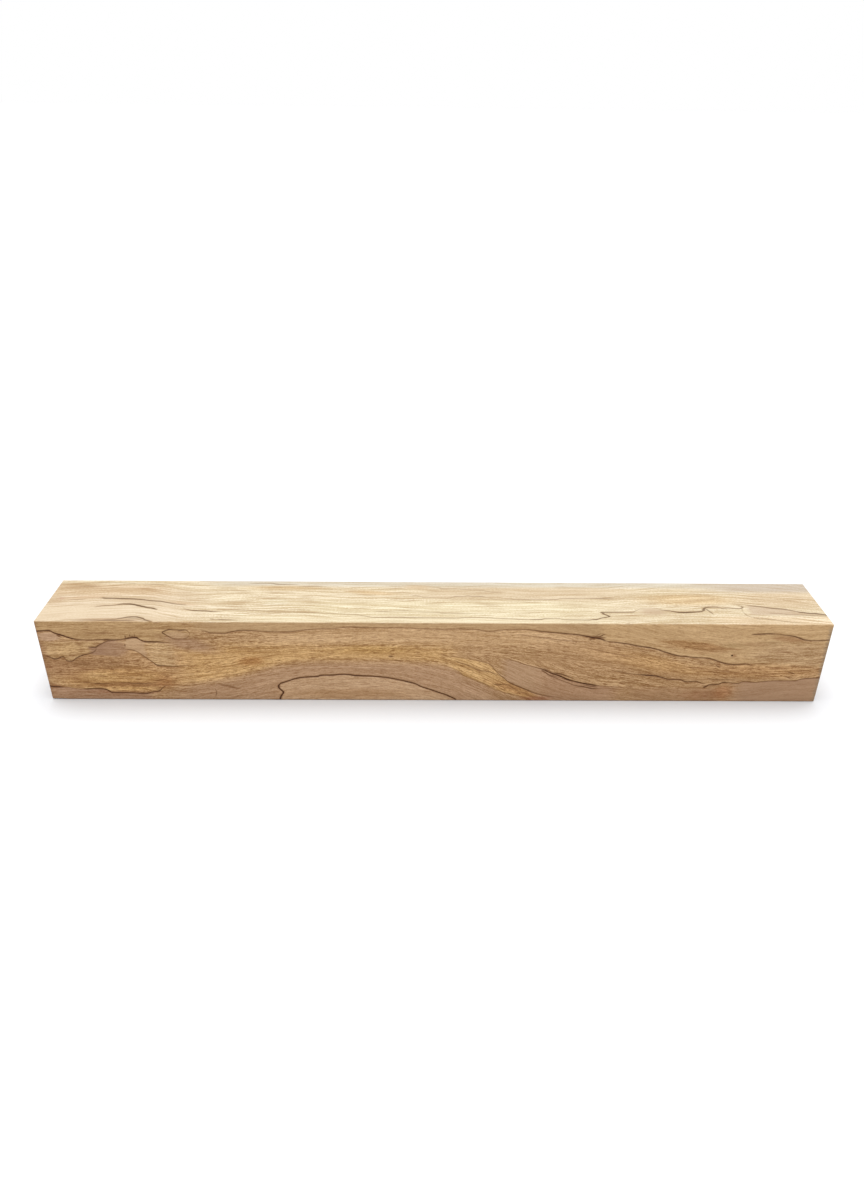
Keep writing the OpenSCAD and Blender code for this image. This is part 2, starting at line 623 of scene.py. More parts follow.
def finish_face(
    face, grain, contrast, dark_tint, light_tint, line_colour, halo_colour, dash_colour, relief=None
):
    """Puts the grain and the zone lines on the face's colours, and sets its sheen and relief."""
    tree = face["tree"]
    lively = maths(tree, "MULTIPLY", maths(tree, "SUBTRACT", 1, face["calm"]), contrast)
    shade = 0.5
    for name, weight in (("Broad", 0.6), ("Fine", 1.2), ("Fibres", 1.0)):
        swing = maths(tree, "MULTIPLY", maths(tree, "SUBTRACT", grain[name], 0.5), weight)
        shade = maths(tree, "MULTIPLY_ADD", swing, lively, shade)
    shade = maths(tree, "ADD", shade, 0.0, clamp=True)
    tone = blended(tree, shade, dark_tint, light_tint)
    colour = blended(tree, 1.0, face["colour"], tone, "MULTIPLY")
    dashes = maths(tree, "MULTIPLY", grain["Dashes"], maths(tree, "MULTIPLY", lively, 0.8))
    colour = blended(tree, dashes, colour, tint(*dash_colour))
    colour = blended(tree, face["halos"], colour, tint(*halo_colour))
    colour = blended(tree, face["lines"], colour, tint(*line_colour))
    shader = tree.nodes["Principled BSDF"]
    feed(tree, shader.inputs["Base Color"], colour)
    feed(tree, shader.inputs["Roughness"], eased(tree, grain["Fine"], 0, 1, 0.58, 0.7))
    shader.inputs["Specular IOR Level"].default_value = 0.15
    bump = add_node(tree, "ShaderNodeBump")
    bump.inputs["Strength"].default_value = 0.25
    bump.inputs["Distance"].default_value = 0.06 * MM
    feed(tree, bump.inputs["Height"], relief or noise(tree, face["place"], (4.0, 0.2, 0.6), 2, 0.6))
    feed(tree, shader.inputs["Normal"], bump.outputs[0])
    stick.data.materials.append(face["material"])


# The front face. Golden streaked wood sweeps over a long mauve hump and down to the right, with the darkest
# zone line arched inside the hump, and fungus patches outlined at the left.

front = new_face("front face", (-math.pi / 2, 0, 0), (0, 0, 0), (181, 145, 104), misread=2.1)

left_top_line = zone_line(front, [
    (-225, 45.5, 0.8), (-218, 46, 0.9), (-215, 44.5, 0.95), (-211, 43, 1), (-206.5, 41.2, 0.95),
    (-202, 40.2, 0.6), (-196, 40.1, 0.5), (-190, 40.3, 0.65), (-185, 40.2, 0.75), (-180, 40.4, 0.7),
    (-176, 41, 0.9), (-171, 41.8, 1), (-167.5, 39.8, 0.9), (-164, 39, 0.95), (-159.5, 39, 0.9),
    (-154, 38.5, 0.35), (-150, 38, 0),
])
mauve_edge = zone_line(front, [
    (-199, 35.5, 0), (-194, 35.3, 0.8), (-192, 36.6, 0.75), (-189.5, 38, 0.6), (-186.5, 39.3, 0.5),
    (-183, 39.7, 0.4), (-180, 40, 0),
])
khaki_edge = zone_line(front, [
    (-222, 29.3, 0.6), (-217.5, 27.5, 0.75), (-213, 29, 0.7), (-211.5, 26.3, 0.8), (-209, 26, 0.75),
    (-206, 28, 0.7), (-202, 30, 0.8), (-199, 30.8, 0.7), (-195, 32.5, 0.5), (-193.5, 34.3, 0.4),
])
low_left_line = zone_line(front, [
    (-225, 9, 1), (-220.5, 8.5, 1), (-218, 8.5, 0.75), (-214, 8.2, 0.25), (-207, 7.2, 0.3),
    (-204.5, 7.2, 0.75), (-199.5, 7.4, 0.85), (-194, 7.2, 0.95), (-191, 5.8, 1), (-189.5, 4.9, 0.9),
    (-180, 4.7, 0.75), (-171, 4.3, 0.85), (-166.5, 5.2, 0.75), (-162.5, 6, 0.75), (-160.5, 7.8, 0.7),
    (-158, 9.5, 0.4), (-155, 10, 0),
])
patch_edge = zone_line(front, [
    (-177, 34, 0), (-175.8, 34, 0.5), (-171, 32.4, 0.5), (-168, 29.7, 0.55), (-164, 26.2, 0.65),
    (-161, 23.5, 0.8), (-158, 23.2, 0.65), (-152, 22.8, 0.5), (-146.5, 23.2, 0.4), (-142, 23.5, 0),
])
zone_line(front, [
    (-155.5, 45.2, 0.8), (-154, 46, 0.75), (-151, 47, 0.7), (-148, 46.9, 0.55), (-145, 46.6, 0.7),
    (-142.7, 46.9, 0.65), (-141, 46, 0.55), (-140.2, 44.5, 0.5),
])
zone_line(front, [
    (-155.5, 45, 0.8), (-153.5, 43.5, 0.75), (-151, 41.8, 0.55), (-147, 40.8, 0.4), (-143.5, 41.2, 0.35),
    (-141.2, 42.6, 0.35), (-140.2, 44.5, 0.4),
])
long_line = zone_line(front, [
    (-134.5, 46.5, 0), (-131, 46, 0.5), (-129, 45, 0.55), (-121, 44.8, 0.5), (-117, 45.8, 0.6),
    (-110, 46.8, 0.6), (-100, 46.2, 0.45), (-90, 45.7, 0.45), (-85, 45.8, 0.5), (-80, 46.6, 0.45),
    (-71, 47.8, 0.4), (-61, 48, 0.4), (-50, 49.2, 0.5), (-38, 48.8, 0.4), (-23, 48.8, 0.35), (0, 48, 0.4),
    (10, 48.2, 0.35), (20, 48, 0.35), (28, 46.8, 0.35), (41, 48.2, 0.4), (49, 48, 0.5), (60, 46.6, 0.65),
    (72, 45.5, 0.7), (80, 44.5, 0.75), (87.5, 43, 0.95), (91.5, 42.3, 0.9), (95, 40.9, 0.5),
])
falling_line = zone_line(front, [
    (92, 41.6, 0.3), (95, 40.8, 0.45), (103, 39.7, 0.7), (110, 38.5, 0.75), (115, 37.4, 0.75),
    (120.5, 36.6, 0.8), (125, 35.5, 0.75), (130.5, 33.5, 0.75), (137.5, 31.4, 0.8), (142, 30.8, 0.75),
    (150, 30, 0.65), (157, 29.5, 0.7), (160.5, 28.3, 0.7), (164, 27, 0.75), (168, 25.8, 0.8),
    (174, 25.6, 0.7), (178, 26, 0.7), (182, 25.2, 0.3), (185, 24.5, 0),
])
zone_line(front, [
    (0.4, -93, 1), (2.8, -92.3, 0.95), (5.5, -90.8, 1), (7, -92, 0.95), (8.9, -93.2, 0.95),
    (10.5, -93, 0.95), (11.8, -91.6, 0.9),
], half_width=0.5, steep=True)
arch_line = zone_line(front, [
    (-92, 11.5, 0.9), (-88, 13, 0.9), (-82.5, 15, 0.9), (-78, 15.8, 0.9), (-70, 16.5, 0.9), (-68.8, 17, 0.9),
    (-61, 17.4, 0.9), (-55, 17.9, 0.9), (-47.5, 17, 0.95), (-41, 16.8, 0.85), (-32, 16, 0.85),
    (-26.5, 15, 0.85), (-19.5, 13.3, 0.9), (-14, 11.6, 0.9), (-10.5, 9.7, 0.9), (-5, 7.6, 0.9),
    (-0.5, 5.8, 0.9), (3.5, 4.3, 0.9), (6.5, 2.8, 0.95), (10, 0.8, 1),
], half_width=0.44)
flame_top = zone_line(front, [
    (-6, 33, 0), (5, 30.5, 0.2), (20.5, 27.8, 0.3), (29, 25, 0.45), (31.5, 22.4, 0.55), (33.5, 19.7, 0.55),
    (38, 15.5, 0.6), (40.5, 13.2, 0.65), (44, 11.2, 0.65), (50.5, 8.2, 0.7), (56, 5.5, 0.6), (62, 3.7, 0.5),
    (68, 2.8, 0.3), (75, 2, 0),
])
flame_bottom = zone_line(front, [
    (-160, 7, 0), (-150, 9, 0.2), (-130, 12.5, 0.15), (-115, 16, 0.1), (-100, 21, 0.05), (-85, 24.5, 0.05),
    (-60, 26.5, 0), (-40, 26.5, 0), (-20, 26, 0), (0, 24.3, 0.05), (10.5, 20.8, 0.15), (14, 17.5, 0.3),
    (20, 14.7, 0.2), (26, 12, 0.3), (32, 8.9, 0.25), (38, 5.8, 0.35), (43, 4.5, 0.35), (49, 3, 0.3),
    (56, 1, 0.15),
])
zone_line(front, [
    (8, 27.5, 0), (10.5, 26.6, 0.35), (18, 23.5, 0.4), (22.5, 21.2, 0.45), (29, 20, 0.45), (33.5, 18.2, 0.4),
    (37, 16, 0),
])
zone_line(front, [
    (30, 12.5, 0), (34, 11, 0.5), (38, 11.5, 0.45), (42, 10, 0.35), (46, 7, 0.3), (52, 4.5, 0),
])
check_line = zone_line(front, [
    (37, 29, 0), (42.5, 27.5, 0.3), (49, 25.2, 0.4), (55, 23.4, 0.45), (60.5, 21.6, 0.8), (64, 19.8, 0.9),
    (68, 18.2, 0.95), (72, 16.5, 1), (75, 14.9, 1), (79.5, 13.6, 0.9), (85, 12.2, 0.95), (90, 11.3, 0.9),
    (95, 10.5, 0.35), (103, 10, 0.25), (112, 9.5, 0),
])
zone_line(front, [
    (59, 21, 0), (60.5, 20.5, 0.7), (64, 17.9, 0.6), (70, 15, 0.45), (75, 12.8, 0.4), (79.5, 10.9, 0.5),
    (86, 9.7, 0.7), (90, 8.7, 0.7), (95, 8.6, 0.3), (103, 8.4, 0.15), (108, 8.2, 0),
])
zone_line(front, [(66, 19.6, 0), (69, 19, 0.8), (72, 18.2, 0.8), (76, 16.6, 0.5), (80, 15.6, 0)])
zone_line(front, [
    (100, 20.9, 0), (105, 20.5, 0.35), (109.5, 19.3, 0.35), (116.5, 18.5, 0.5), (121.5, 18, 0.9),
    (126.5, 17.6, 0.95), (130.5, 16.6, 0.8), (136, 15.2, 0.75), (140.5, 15.2, 0.75), (146.5, 13.5, 0.7),
    (150.5, 14, 0.65), (155, 12.6, 0.5), (158, 12, 0),
])
mauve_top = zone_line(front, [
    (156, 9.8, 0.3), (157.5, 10.2, 0.95), (159.5, 11.4, 0.75), (165, 12, 0.75), (168, 13.3, 0.8),
    (171, 13.2, 0.5), (176, 12.6, 0.6), (179.5, 13.8, 0.6), (186, 13.4, 0.5), (193.5, 14.2, 0.5),
    (201, 14.5, 0.45), (209.5, 14.5, 0.55), (214, 15.8, 0.6), (219.5, 16.4, 0.6), (225, 16.7, 0.7),
])
zone_line(front, [
    (-205, 11.8, 0), (-200, 11.2, 0.45), (-194, 10.8, 0.55), (-188, 11.2, 0.2), (-181, 11.5, 0.5),
    (-173, 11, 0.55), (-166, 11.3, 0.35), (-160, 12.6, 0),
], half_width=0.36)
zone_line(front, [
    (38, 44.6, 0), (48, 44.1, 0.25), (56, 43.2, 0.35), (64, 41.9, 0.4), (72, 41, 0.4), (80, 40.2, 0.25),
    (90, 38.6, 0),
], half_width=0.34)
zone_line(front, [
    (157, 16.4, 0), (160, 15.6, 0.5), (166, 15.1, 0.4), (172, 15.4, 0.4), (177, 15.8, 0),
], half_width=0.34)
zone_line(front, [
    (80, 36.5, 0), (90, 35, 0.3), (100, 32.6, 0.35), (112, 30.4, 0.25), (122, 28, 0),
], half_width=0.34)
zone_line(front, [
    (178, 45.6, 0), (180.5, 45.6, 0.7), (185, 45.8, 0.75), (189, 46, 0.75), (193, 45.8, 0.4),
    (197.5, 45.2, 0.5), (203.5, 44.3, 0.75), (207.5, 42.9, 0.8), (210.5, 42, 0.65), (216.5, 41.6, 0.6),
    (221, 41.8, 0.65), (225, 42, 0.4),
])

# Ground colours of the front, from the largest to the smallest.
band(front, (181, 148, 108), above=long_line, start=-140, end=100, softness=2, calm=0.65)
band(front, (193, 159, 116), above=falling_line, start=88, fade=8, softness=2.5, calm=0.6)
stain(front, (184, 151, 112), (208, 32), (26, 8), softness=0.5, strength=0.95, calm=0.3)
stain(front, (186, 145, 99), (188, 21), (36, 4.5), softness=0.5, strength=0.9, calm=0)
stain(front, (193, 152, 102), (120, 27), (34, 5), slope=-0.2, strength=0.8, calm=0.2)
band(front, (181, 147, 104), above=left_top_line, end=-130, fade=20, calm=0.45)
band(front, (197, 161, 119), above=37, below=long_line, start=-110, end=95, fade=30, softness=5, calm=0.4)
band(front, (185, 148, 108), above=18, below=40, start=40, end=125, fade=30, softness=6, strength=0.5,
     calm=0.35)
stain(front, (188, 148, 105), (-175, 26), (60, 9), strength=0.65)
stain(front, (198, 154, 99), (-184, 14), (32, 8), softness=0.5, strength=0.75)
stain(front, (150, 106, 68), (-176, 10.2), (24, 1.6), slope=0.01, strength=0.6)
stain(front, (152, 108, 70), (-205, 14.5), (9, 1.8), slope=-0.05, strength=0.5)
stain(front, (206, 167, 114), (-194, 15.6), (11, 2.8), slope=0.03, softness=0.5, strength=0.9)
stain(front, (202, 162, 110), (-171, 15.2), (11, 2.2), slope=-0.03, strength=0.8)
stain(front, (200, 158, 104), (-176, 7.6), (14, 1.8), softness=0.5, strength=0.7)
stain(front, (155, 116, 80), (-218, 22), (18, 6), strength=0.7)
stain(front, (155, 117, 80), (-194, 25), (16, 4), strength=0.7)
band(front, (203, 163, 110), above=flame_bottom, below=37, start=-158, end=18, fade=22, softness=9,
     strength=0.9, calm=0.15)
stain(front, (169, 121, 70), (-108, 26.5), (7, 2.8), slope=0.1, softness=0.5, strength=0.85)
stain(front, (190, 150, 92), (-38, 34.5), (20, 2.5), softness=0.7, strength=0.7)
band(front, (179, 144, 111), below=flame_bottom, start=-176, end=60, fade=40, softness=8, calm=0.45)
band(front, (193, 159, 124), below=arch_line, start=-92.5, end=12, fade=0.6, softness=0.8, calm=0.5)
stain(front, (175, 137, 98), (-52, 4.5), (36, 3.4), strength=0.7)
band(front, (196, 157, 106), above=flame_bottom, below=flame_top, start=0, end=62, fade=12, softness=1.8,
     calm=0.2)
stain(front, (168, 121, 74), (46, 7.2), (15, 3.4), slope=-0.36, strength=0.6, calm=-0.2)
band(front, (179, 145, 112), above=flame_top, below=check_line, start=33, end=66, fade=8, softness=2,
     calm=0.6)
band(front, (172, 136, 104), below=check_line, start=52, end=112, fade=14, softness=2, calm=0.55)
band(front, (170, 134, 98), below=9.5, start=100, end=182, fade=22, softness=5, calm=0.5)
stain(front, (156, 112, 78), (157, 4.5), (12, 3.5), strength=0.55)
stain(front, (150, 100, 72), (57, 1.5), (8, 1.6), strength=0.7)
band(front, (168, 134, 104), below=mauve_top, start=168, fade=14, softness=0.8, calm=0.75)
stain(front, (166, 114, 74), (168.5, 6.5), (5.5, 5), strength=0.6, calm=0.3)
stain(front, (174, 135, 90), (142, 39.6), (14, 1.9), slope=-0.03, strength=0.8, calm=0)
stain(front, (171, 131, 87), (150, 36.9), (17, 2.2), slope=-0.05, strength=0.85, calm=0)
stains(front, [
    ((158, 116, 72), (136, 40.6), (8, 0.6), 0, 0.65), ((160, 120, 76), (147, 39), (10, 0.6), -0.03, 0.6),
    ((156, 114, 72), (153, 37.4), (11, 0.6), -0.02, 0.65),
    ((160, 120, 78), (160, 35.6), (13, 0.6), 0.02, 0.6), ((165, 134, 92), (172, 38.4), (9, 1.5), 0.06, 0.7),
    ((163, 133, 94), (188, 39.4), (10, 1.4), 0.05, 0.65),
    ((176, 138, 96), (152, 33.5), (12, 0.9), -0.03, 0.6),
    ((160, 120, 82), (201, 42.4), (9, 1.6), -0.12, 0.8), ((168, 130, 92), (182, 39), (9, 1.2), 0, 0.5),
    ((196, 160, 120), (66, 43), (14, 2), -0.1, 0.6),
])
band(front, (171, 135, 105), below=low_left_line, end=-163, fade=8, softness=1, calm=0.45)
stain(front, (170, 120, 76), (-158, 12.4), (5, 4.2), strength=0.55)
stain(front, (186, 152, 122), (-219, 42), (6.5, 2.7), softness=0.3, strength=0.9, calm=0.6)
band(front, (184, 149, 106), above=khaki_edge, below=38.5, end=-194, fade=2, softness=1.2, calm=0.15)
stain(front, (198, 162, 114), (-210, 34), (9, 3.2), slope=0.1, strength=0.6)
stain(front, (156, 118, 84), (-223.6, 34), (2.2, 5.5), softness=0.5, strength=0.6)
band(front, (159, 124, 96), above=30, below=mauve_edge, start=-199, end=-181, fade=3, calm=0.6)
stain(front, (163, 128, 98), (-183, 34.5), (6.5, 5.5), softness=0.35, strength=0.9, calm=0.5)
band(front, (188, 154, 118), above=patch_edge, below=left_top_line, start=-178, end=-165, fade=2,
     softness=1, calm=0.65)
band(front, (197, 163, 120), above=patch_edge, below=left_top_line, start=-168, end=-148, fade=6,
     softness=1, calm=0.2)
stain(front, (166, 131, 101), (-141, 37.4), (14, 4.4), slope=-0.22, softness=0.55, strength=0.85, calm=0.45)
stain(front, (143, 92, 60), (-182, 5.2), (20, 0.9), slope=-0.01, strength=0.45)
stain(front, (143, 92, 60), (-221, 9.2), (5, 0.9), slope=-0.05, strength=0.5)
stain(front, (190, 156, 120), (-148, 43.5), (6, 2.4), softness=0.35, strength=0.7, calm=0.6)

# The knot on the long line, and small dark flecks, dashes and marks.
dark_fleck = (88, 52, 28)
brown_fleck = (124, 82, 48)
flecks(front, dark_fleck, [
    (89.3, 43.1, 3.4, 1, 0, 0.8), (87.2, 42.2, 2, 0.5, 0.2, 0.8), (92.3, 44.4, 1.9, 0.35, 0.5, 0.8),
    (93.2, 42.9, 1.8, 0.3, 0.1, 0.7), (90.3, 45, 1.2, 0.3, 0.6, 0.5), (84.6, 43.9, 2.6, 0.35, -0.1, 0.6),
    (-27.8, 30.1, 1.4, 0.45, 0, 0.8), (162.7, 24, 1.4, 0.4, -0.5, 0.7), (207, 19.9, 2.3, 0.4, -0.25, 0.7),
    (205.5, 16.8, 1.9, 0.35, -0.4, 0.65), (158.2, 26.4, 1.6, 0.3, -0.3, 0.5),
    (-174.6, 41.6, 0.9, 0.5, 0, 0.7), (-172.4, 42.5, 0.8, 0.5, 0, 0.7), (-169.9, 41.9, 0.8, 0.5, 0, 0.7),
    (-213, 42.8, 1, 0.8, -0.4, 0.7), (-186.6, 40.6, 1.8, 0.4, 0, 0.6), (67.5, 17, 3, 0.3, -0.35, 0.7),
    (63.6, 20.8, 2.4, 0.3, -0.4, 0.7), (65.6, 18.8, 2, 0.3, -0.45, 0.8), (70.8, 17.2, 2.2, 0.3, -0.4, 0.8),
    (73.6, 15, 2, 0.3, -0.35, 0.7), (91, 10.1, 2.2, 0.3, -0.2, 0.7), (61.8, 21.9, 1.6, 0.3, -0.5, 0.6),
    (88, 10.4, 3, 0.3, -0.2, 0.7), (-177.3, 36.6, 0.4, 0.9, 0, 0.6), (-176.3, 42.2, 0.35, 1, 0, 0.7),
    (-173.6, 42.9, 0.35, 0.9, 0, 0.7), (-171.1, 42.7, 0.35, 0.9, 0, 0.7),
])
flecks(front, brown_fleck, [
    (-65.5, 22.2, 2, 0.35, 0, 0.7), (-60.2, 23, 2.2, 0.3, 0, 0.6), (-27, 27.2, 4.8, 0.3, 0.02, 0.6),
    (-108, 36.2, 4.6, 0.3, 0.02, 0.5), (-201.8, 20.7, 5, 0.4, 0, 0.7), (-222, 22.3, 2.4, 0.45, 0, 0.8),
    (-190.5, 44.6, 7.5, 0.6, 0.02, 0.45), (-122.2, 9.5, 5.6, 0.8, -0.25, 0.6),
    (-118.5, 8.3, 3, 0.4, -0.2, 0.5), (-196, 16.2, 5, 0.4, -0.04, 0.5), (-183, 18.1, 6, 0.35, 0.03, 0.5),
    (-172, 9.2, 7, 0.4, 0.02, 0.6), (-206, 11.8, 4.5, 0.35, 0.03, 0.55), (-176, 15, 4.5, 0.35, -0.05, 0.5),
    (-160, 13.6, 3.2, 0.5, 0.2, 0.6), (-155.5, 16.2, 2.6, 0.4, 0.3, 0.5), (165, 36, 11, 0.25, 0, 0.45),
    (164, 34, 9, 0.25, 0, 0.45), (200, 34, 5, 0.25, 0, 0.5), (170, 20.5, 6, 0.3, -0.1, 0.4),
    (181, 22.5, 7, 0.35, 0.1, 0.5), (194, 19, 7, 0.35, 0.12, 0.5), (213, 21.5, 5, 0.35, 0.02, 0.5),
    (-68, 9, 5, 0.25, 0.02, 0.4), (-38, 9.5, 6, 0.25, 0, 0.4), (-46, 12.3, 4, 0.22, -0.05, 0.35),
    (-100, 33.5, 7, 0.3, 0.04, 0.4), (-55, 37.5, 9, 0.3, 0.02, 0.35), (22, 40.5, 8, 0.25, -0.02, 0.35),
    (-160, 47.5, 9, 0.3, 0.02, 0.35), (199, 22.6, 6, 0.35, 0.05, 0.5), (187, 26.2, 7, 0.3, 0.03, 0.45),
    (212, 24.6, 6, 0.3, 0, 0.5), (171, 22.8, 5, 0.3, -0.08, 0.5), (160, 20.6, 5, 0.3, -0.15, 0.5),
    (219, 26.6, 4, 0.3, 0, 0.45), (36, 10.2, 4, 0.35, -0.45, 0.5), (44, 8.6, 4, 0.35, -0.4, 0.55),
    (50, 5.6, 4, 0.35, -0.35, 0.5), (17, 24.4, 5, 0.3, -0.3, 0.45), (25, 20, 4, 0.3, -0.45, 0.4),
    (-187, 21.4, 7, 0.3, 0, 0.5), (-211, 17.2, 6, 0.35, 0.02, 0.5), (-169, 21, 5, 0.3, 0, 0.45),
    (-200, 25.4, 5, 0.3, 0.05, 0.5), (186, 20.1, 4, 0.35, 0, 0.5), (192.5, 17.2, 5, 0.4, -0.03, 0.6),
    (198, 23.4, 5, 0.35, 0.02, 0.5), (215, 23.6, 5, 0.35, 0, 0.45), (149.5, 23.3, 5, 0.4, -0.05, 0.55),
    (165, 21.2, 8, 0.3, -0.1, 0.45), (187, 30.8, 6, 0.5, 0.05, 0.4), (181, 13.9, 4.5, 0.4, 0.02, 0.45),
    (200, 34.2, 4, 0.3, 0, 0.5),
])
zone_line(front, [
    (1.5, -130.4, 0), (3, -130.1, 0.45), (5, -129.7, 0.5), (7, -129.9, 0.4), (8.2, -130.3, 0),
], half_width=0.34, steep=True)
stain(front, (140, 98, 62), (170.5, 31.5), (1.6, 1.3), strength=0.6, crisp=True)

# The lower edge is darkened as painted shade where the stick meets the floor, and both end edges are a
# little darker.
band(front, (124, 92, 66), below=0.5, softness=1.4, strength=0.7)
band(front, (138, 104, 74), start=-240, end=-222.4, fade=1.8, strength=0.5)
band(front, (140, 122, 100), below=50, start=222.2, end=240, fade=2.2, softness=5, strength=0.7)

low_flow, _ = traced(front, front["along"], [
    (-225, 0), (-150, 0), (-130, 1.5), (-110, 5), (-90, 9), (-60, 11), (-30, 10), (-10, 7), (5, 3), (20, -3),
    (35, -11), (50, -18), (60, -22), (75, -27.5), (90, -31.5), (110, -34.5), (130, -38), (150, -41),
    (165, -41), (190, -39), (225, -36),
])
high_flow, _ = traced(front, front["along"], [
    (-225, 0), (-150, 0.5), (-110, 2), (-60, 3.5), (-20, 4), (20, 3), (60, 1), (80, -2), (100, -5),
    (120, -9), (140, -13), (160, -16), (180, -18), (200, -18), (225, -16),
])
divide, _ = traced(front, front["along"], [(-225, 30), (10, 31), (60, 28), (110, 24), (150, 16), (225, 14)])
low_grain = grain_along(front, low_flow)
high_grain = grain_along(front, high_flow)
highness = placed(
    front["tree"], band_group, Across=front["across"], Lower=divide, Upper=60, Softness=5
)["Band"]
front_grain = {}
for name in ("Broad", "Fine", "Dashes", "Fibres"):
    chosen = add_node(front["tree"], "ShaderNodeMix", data_type="FLOAT")
    feed(front["tree"], chosen.inputs[0], highness)
    feed(front["tree"], chosen.inputs[2], low_grain[name])
    feed(front["tree"], chosen.inputs[3], high_grain[name])
    front_grain[name] = chosen.outputs[0]

# How far dense fibre darkens a long face and pale fibre lightens it, and the colours of lines and dashes.
TONES = {
    "dark_tint": (0.66, 0.58, 0.46, 1),
    "light_tint": (1.3, 1.36, 1.44, 1),
    "line_colour": (62, 32, 14),
    "halo_colour": (136, 92, 54),
    "dash_colour": (120, 76, 38),
}
finish_face(front, front_grain, 1.0, **TONES)

# The top face. Creamy sapwood with broad soft streaks, two dark arcs at its left, and one long line that
# runs near the front edge, turns back on itself and climbs to the right-hand end. Its ground is paler and
# creamier than the front's, partly as painted light from the overhead lamp.

top = new_face("top face", (0, 0, 0), (0, 26, -52), (194, 180, 154), misread=-8.1, half_width=0.6)
zone_line(top, [
    (-186, 1.8, 0), (-182, 2.2, 0.4), (-178, 2.6, 0.5), (-175.8, 3.4, 0.6), (-172.7, 4.4, 0.75),
    (-169.6, 5.3, 0.8), (-166.5, 5.5, 0.8), (-163.5, 4.7, 0.85), (-161, 3.5, 0.85), (-159.5, 2, 0.8),
    (-157, 0.8, 0.75), (-155, 0, 0.7),
], half_width=0.75)
zone_line(top, [
    (-194, 17, 0), (-192.7, 17.8, 0.4), (-189.6, 18.8, 0.5), (-183.5, 19.4, 0.5), (-180, 20.6, 0.75),
    (-177, 21.1, 0.9), (-174, 21.1, 1), (-171, 20.5, 1), (-168, 19.3, 1), (-165, 18.2, 1), (-162, 17, 0.9),
    (-159, 16.2, 0.9), (-156.5, 15.1, 0.7), (-155, 14.6, 0),
], half_width=0.72)
zone_line(top, [
    (-214, 26.5, 0), (-210, 26.5, 0.25), (-206.5, 26.6, 0.3), (-199, 28.8, 0.15), (-193.5, 28.8, 0.35),
    (-191, 28.4, 0.95), (-185, 28.2, 0.9), (-181, 27.9, 0.95), (-173, 27.5, 0.9), (-168, 26.8, 0.85),
    (-163.5, 25.8, 0.8), (-159.5, 25.1, 0.8), (-156, 24.7, 0.8), (-152.5, 23.5, 0.7), (-149.5, 22.6, 0.7),
    (-146.5, 21.6, 0.6), (-142, 20.8, 0.5), (-138, 20.1, 0),
], half_width=0.62)
zone_line(top, [
    (-210, 1.2, 0), (-201, 1.5, 0.3), (-192, 1.7, 0.5), (-184, 1.3, 0.6), (-176, 1.1, 0.6), (-169, 1.3, 0.5),
    (-164, 1, 0),
], half_width=0.6)
zone_line(top, [
    (-173, 1.4, 0), (-169.5, 3.1, 0.4), (-166, 3.5, 0.45), (-162.5, 2.4, 0.4), (-159.5, 0.9, 0.3),
], half_width=0.5)
zone_line(top, [
    (-141, 16.5, 0), (-139.5, 15.8, 0.3), (-136.5, 14.3, 0.55), (-133.5, 13.5, 0.8), (-129.5, 13.2, 0.9),
    (-126, 13, 0.9), (-122, 12.5, 0.7), (-118, 12.5, 0.4), (-115, 13.8, 0.25), (-108, 14.3, 0.35),
    (-99.5, 13.9, 0.35), (-92, 13.2, 0.35), (-83, 12.4, 0.35), (-72, 12, 0.35), (-60, 11.2, 0.3),
    (-50, 10.5, 0.35), (-42, 9.7, 0.35), (-38, 9.3, 0.35), (-34, 8.3, 0.4), (-30.5, 7, 0.4), (-26.5, 6, 0.5),
    (-15, 6, 0.55), (0, 6, 0.6),
], half_width=0.56)
zone_line(top, [
    (-3, 6, 0.6), (10, 5.8, 0.6), (18, 5.8, 0.55), (26, 6.5, 0.5), (38, 6.4, 0.5), (42, 5.8, 0.5),
    (50.5, 5.1, 0.5), (59, 4.5, 0.5), (64, 4.5, 0.7), (67.5, 4.9, 0.7), (69.5, 5.6, 0.6), (77, 5.8, 0.5),
    (78.5, 4.9, 0.5), (87.5, 4.5, 0.55), (92, 4.3, 0.6), (95.8, 4.8, 0.75), (97.5, 5, 0.95),
    (100.5, 6.6, 0.85), (103.5, 7.6, 0.85), (105.7, 8.6, 0.95),
], half_width=0.52)
zone_line(top, [
    (8.6, 105.7, 0.95), (9.8, 104.6, 0.9), (11.2, 103, 0.85), (12.8, 102.2, 0.8), (13.6, 101.6, 0.8),
], half_width=0.8, steep=True)
back_bend = zone_line(top, [
    (101.5, 13.5, 0.8), (106, 13.8, 0.65), (112, 13.9, 0.6), (119, 13.9, 0.55), (121, 15.5, 0.35),
    (122.5, 16.6, 0.3), (124.5, 18.2, 0.2), (128, 19, 0.1), (133.5, 18.5, 0.2), (136.5, 16.6, 0.45),
    (139.5, 16, 0.55), (142, 15, 0.75), (145, 14, 0.9), (148, 13.9, 1), (151, 14.2, 0.95), (155, 14.7, 0.8),
    (158, 15.5, 0.75), (159.4, 17, 0.75),
], half_width=0.75)
zone_line(top, [
    (16, 159, 0.75), (17, 159.3, 0.75), (18.5, 159.8, 0.8), (20, 160.8, 0.8),
], half_width=0.9, steep=True)
zone_line(top, [
    (160.3, 19.6, 0.8), (162.7, 20.6, 0.75), (166.5, 20.8, 0.65), (168, 20.5, 0.6), (170.5, 19.3, 0.6),
    (173, 19.7, 0.65), (176, 19.3, 0.65), (179.6, 18.9, 0.65), (181, 19.7, 0.7), (182.3, 20.8, 0.6),
])
zone_line(top, [(12.2, 163.2, 0.4), (14, 162.7, 0.55), (16, 161.9, 0.6), (18.2, 160.9, 0.6)], steep=True)
zone_line(top, [(20.5, 182, 0.6), (22.4, 180.9, 0.55), (23.6, 179.2, 0.3)], steep=True)
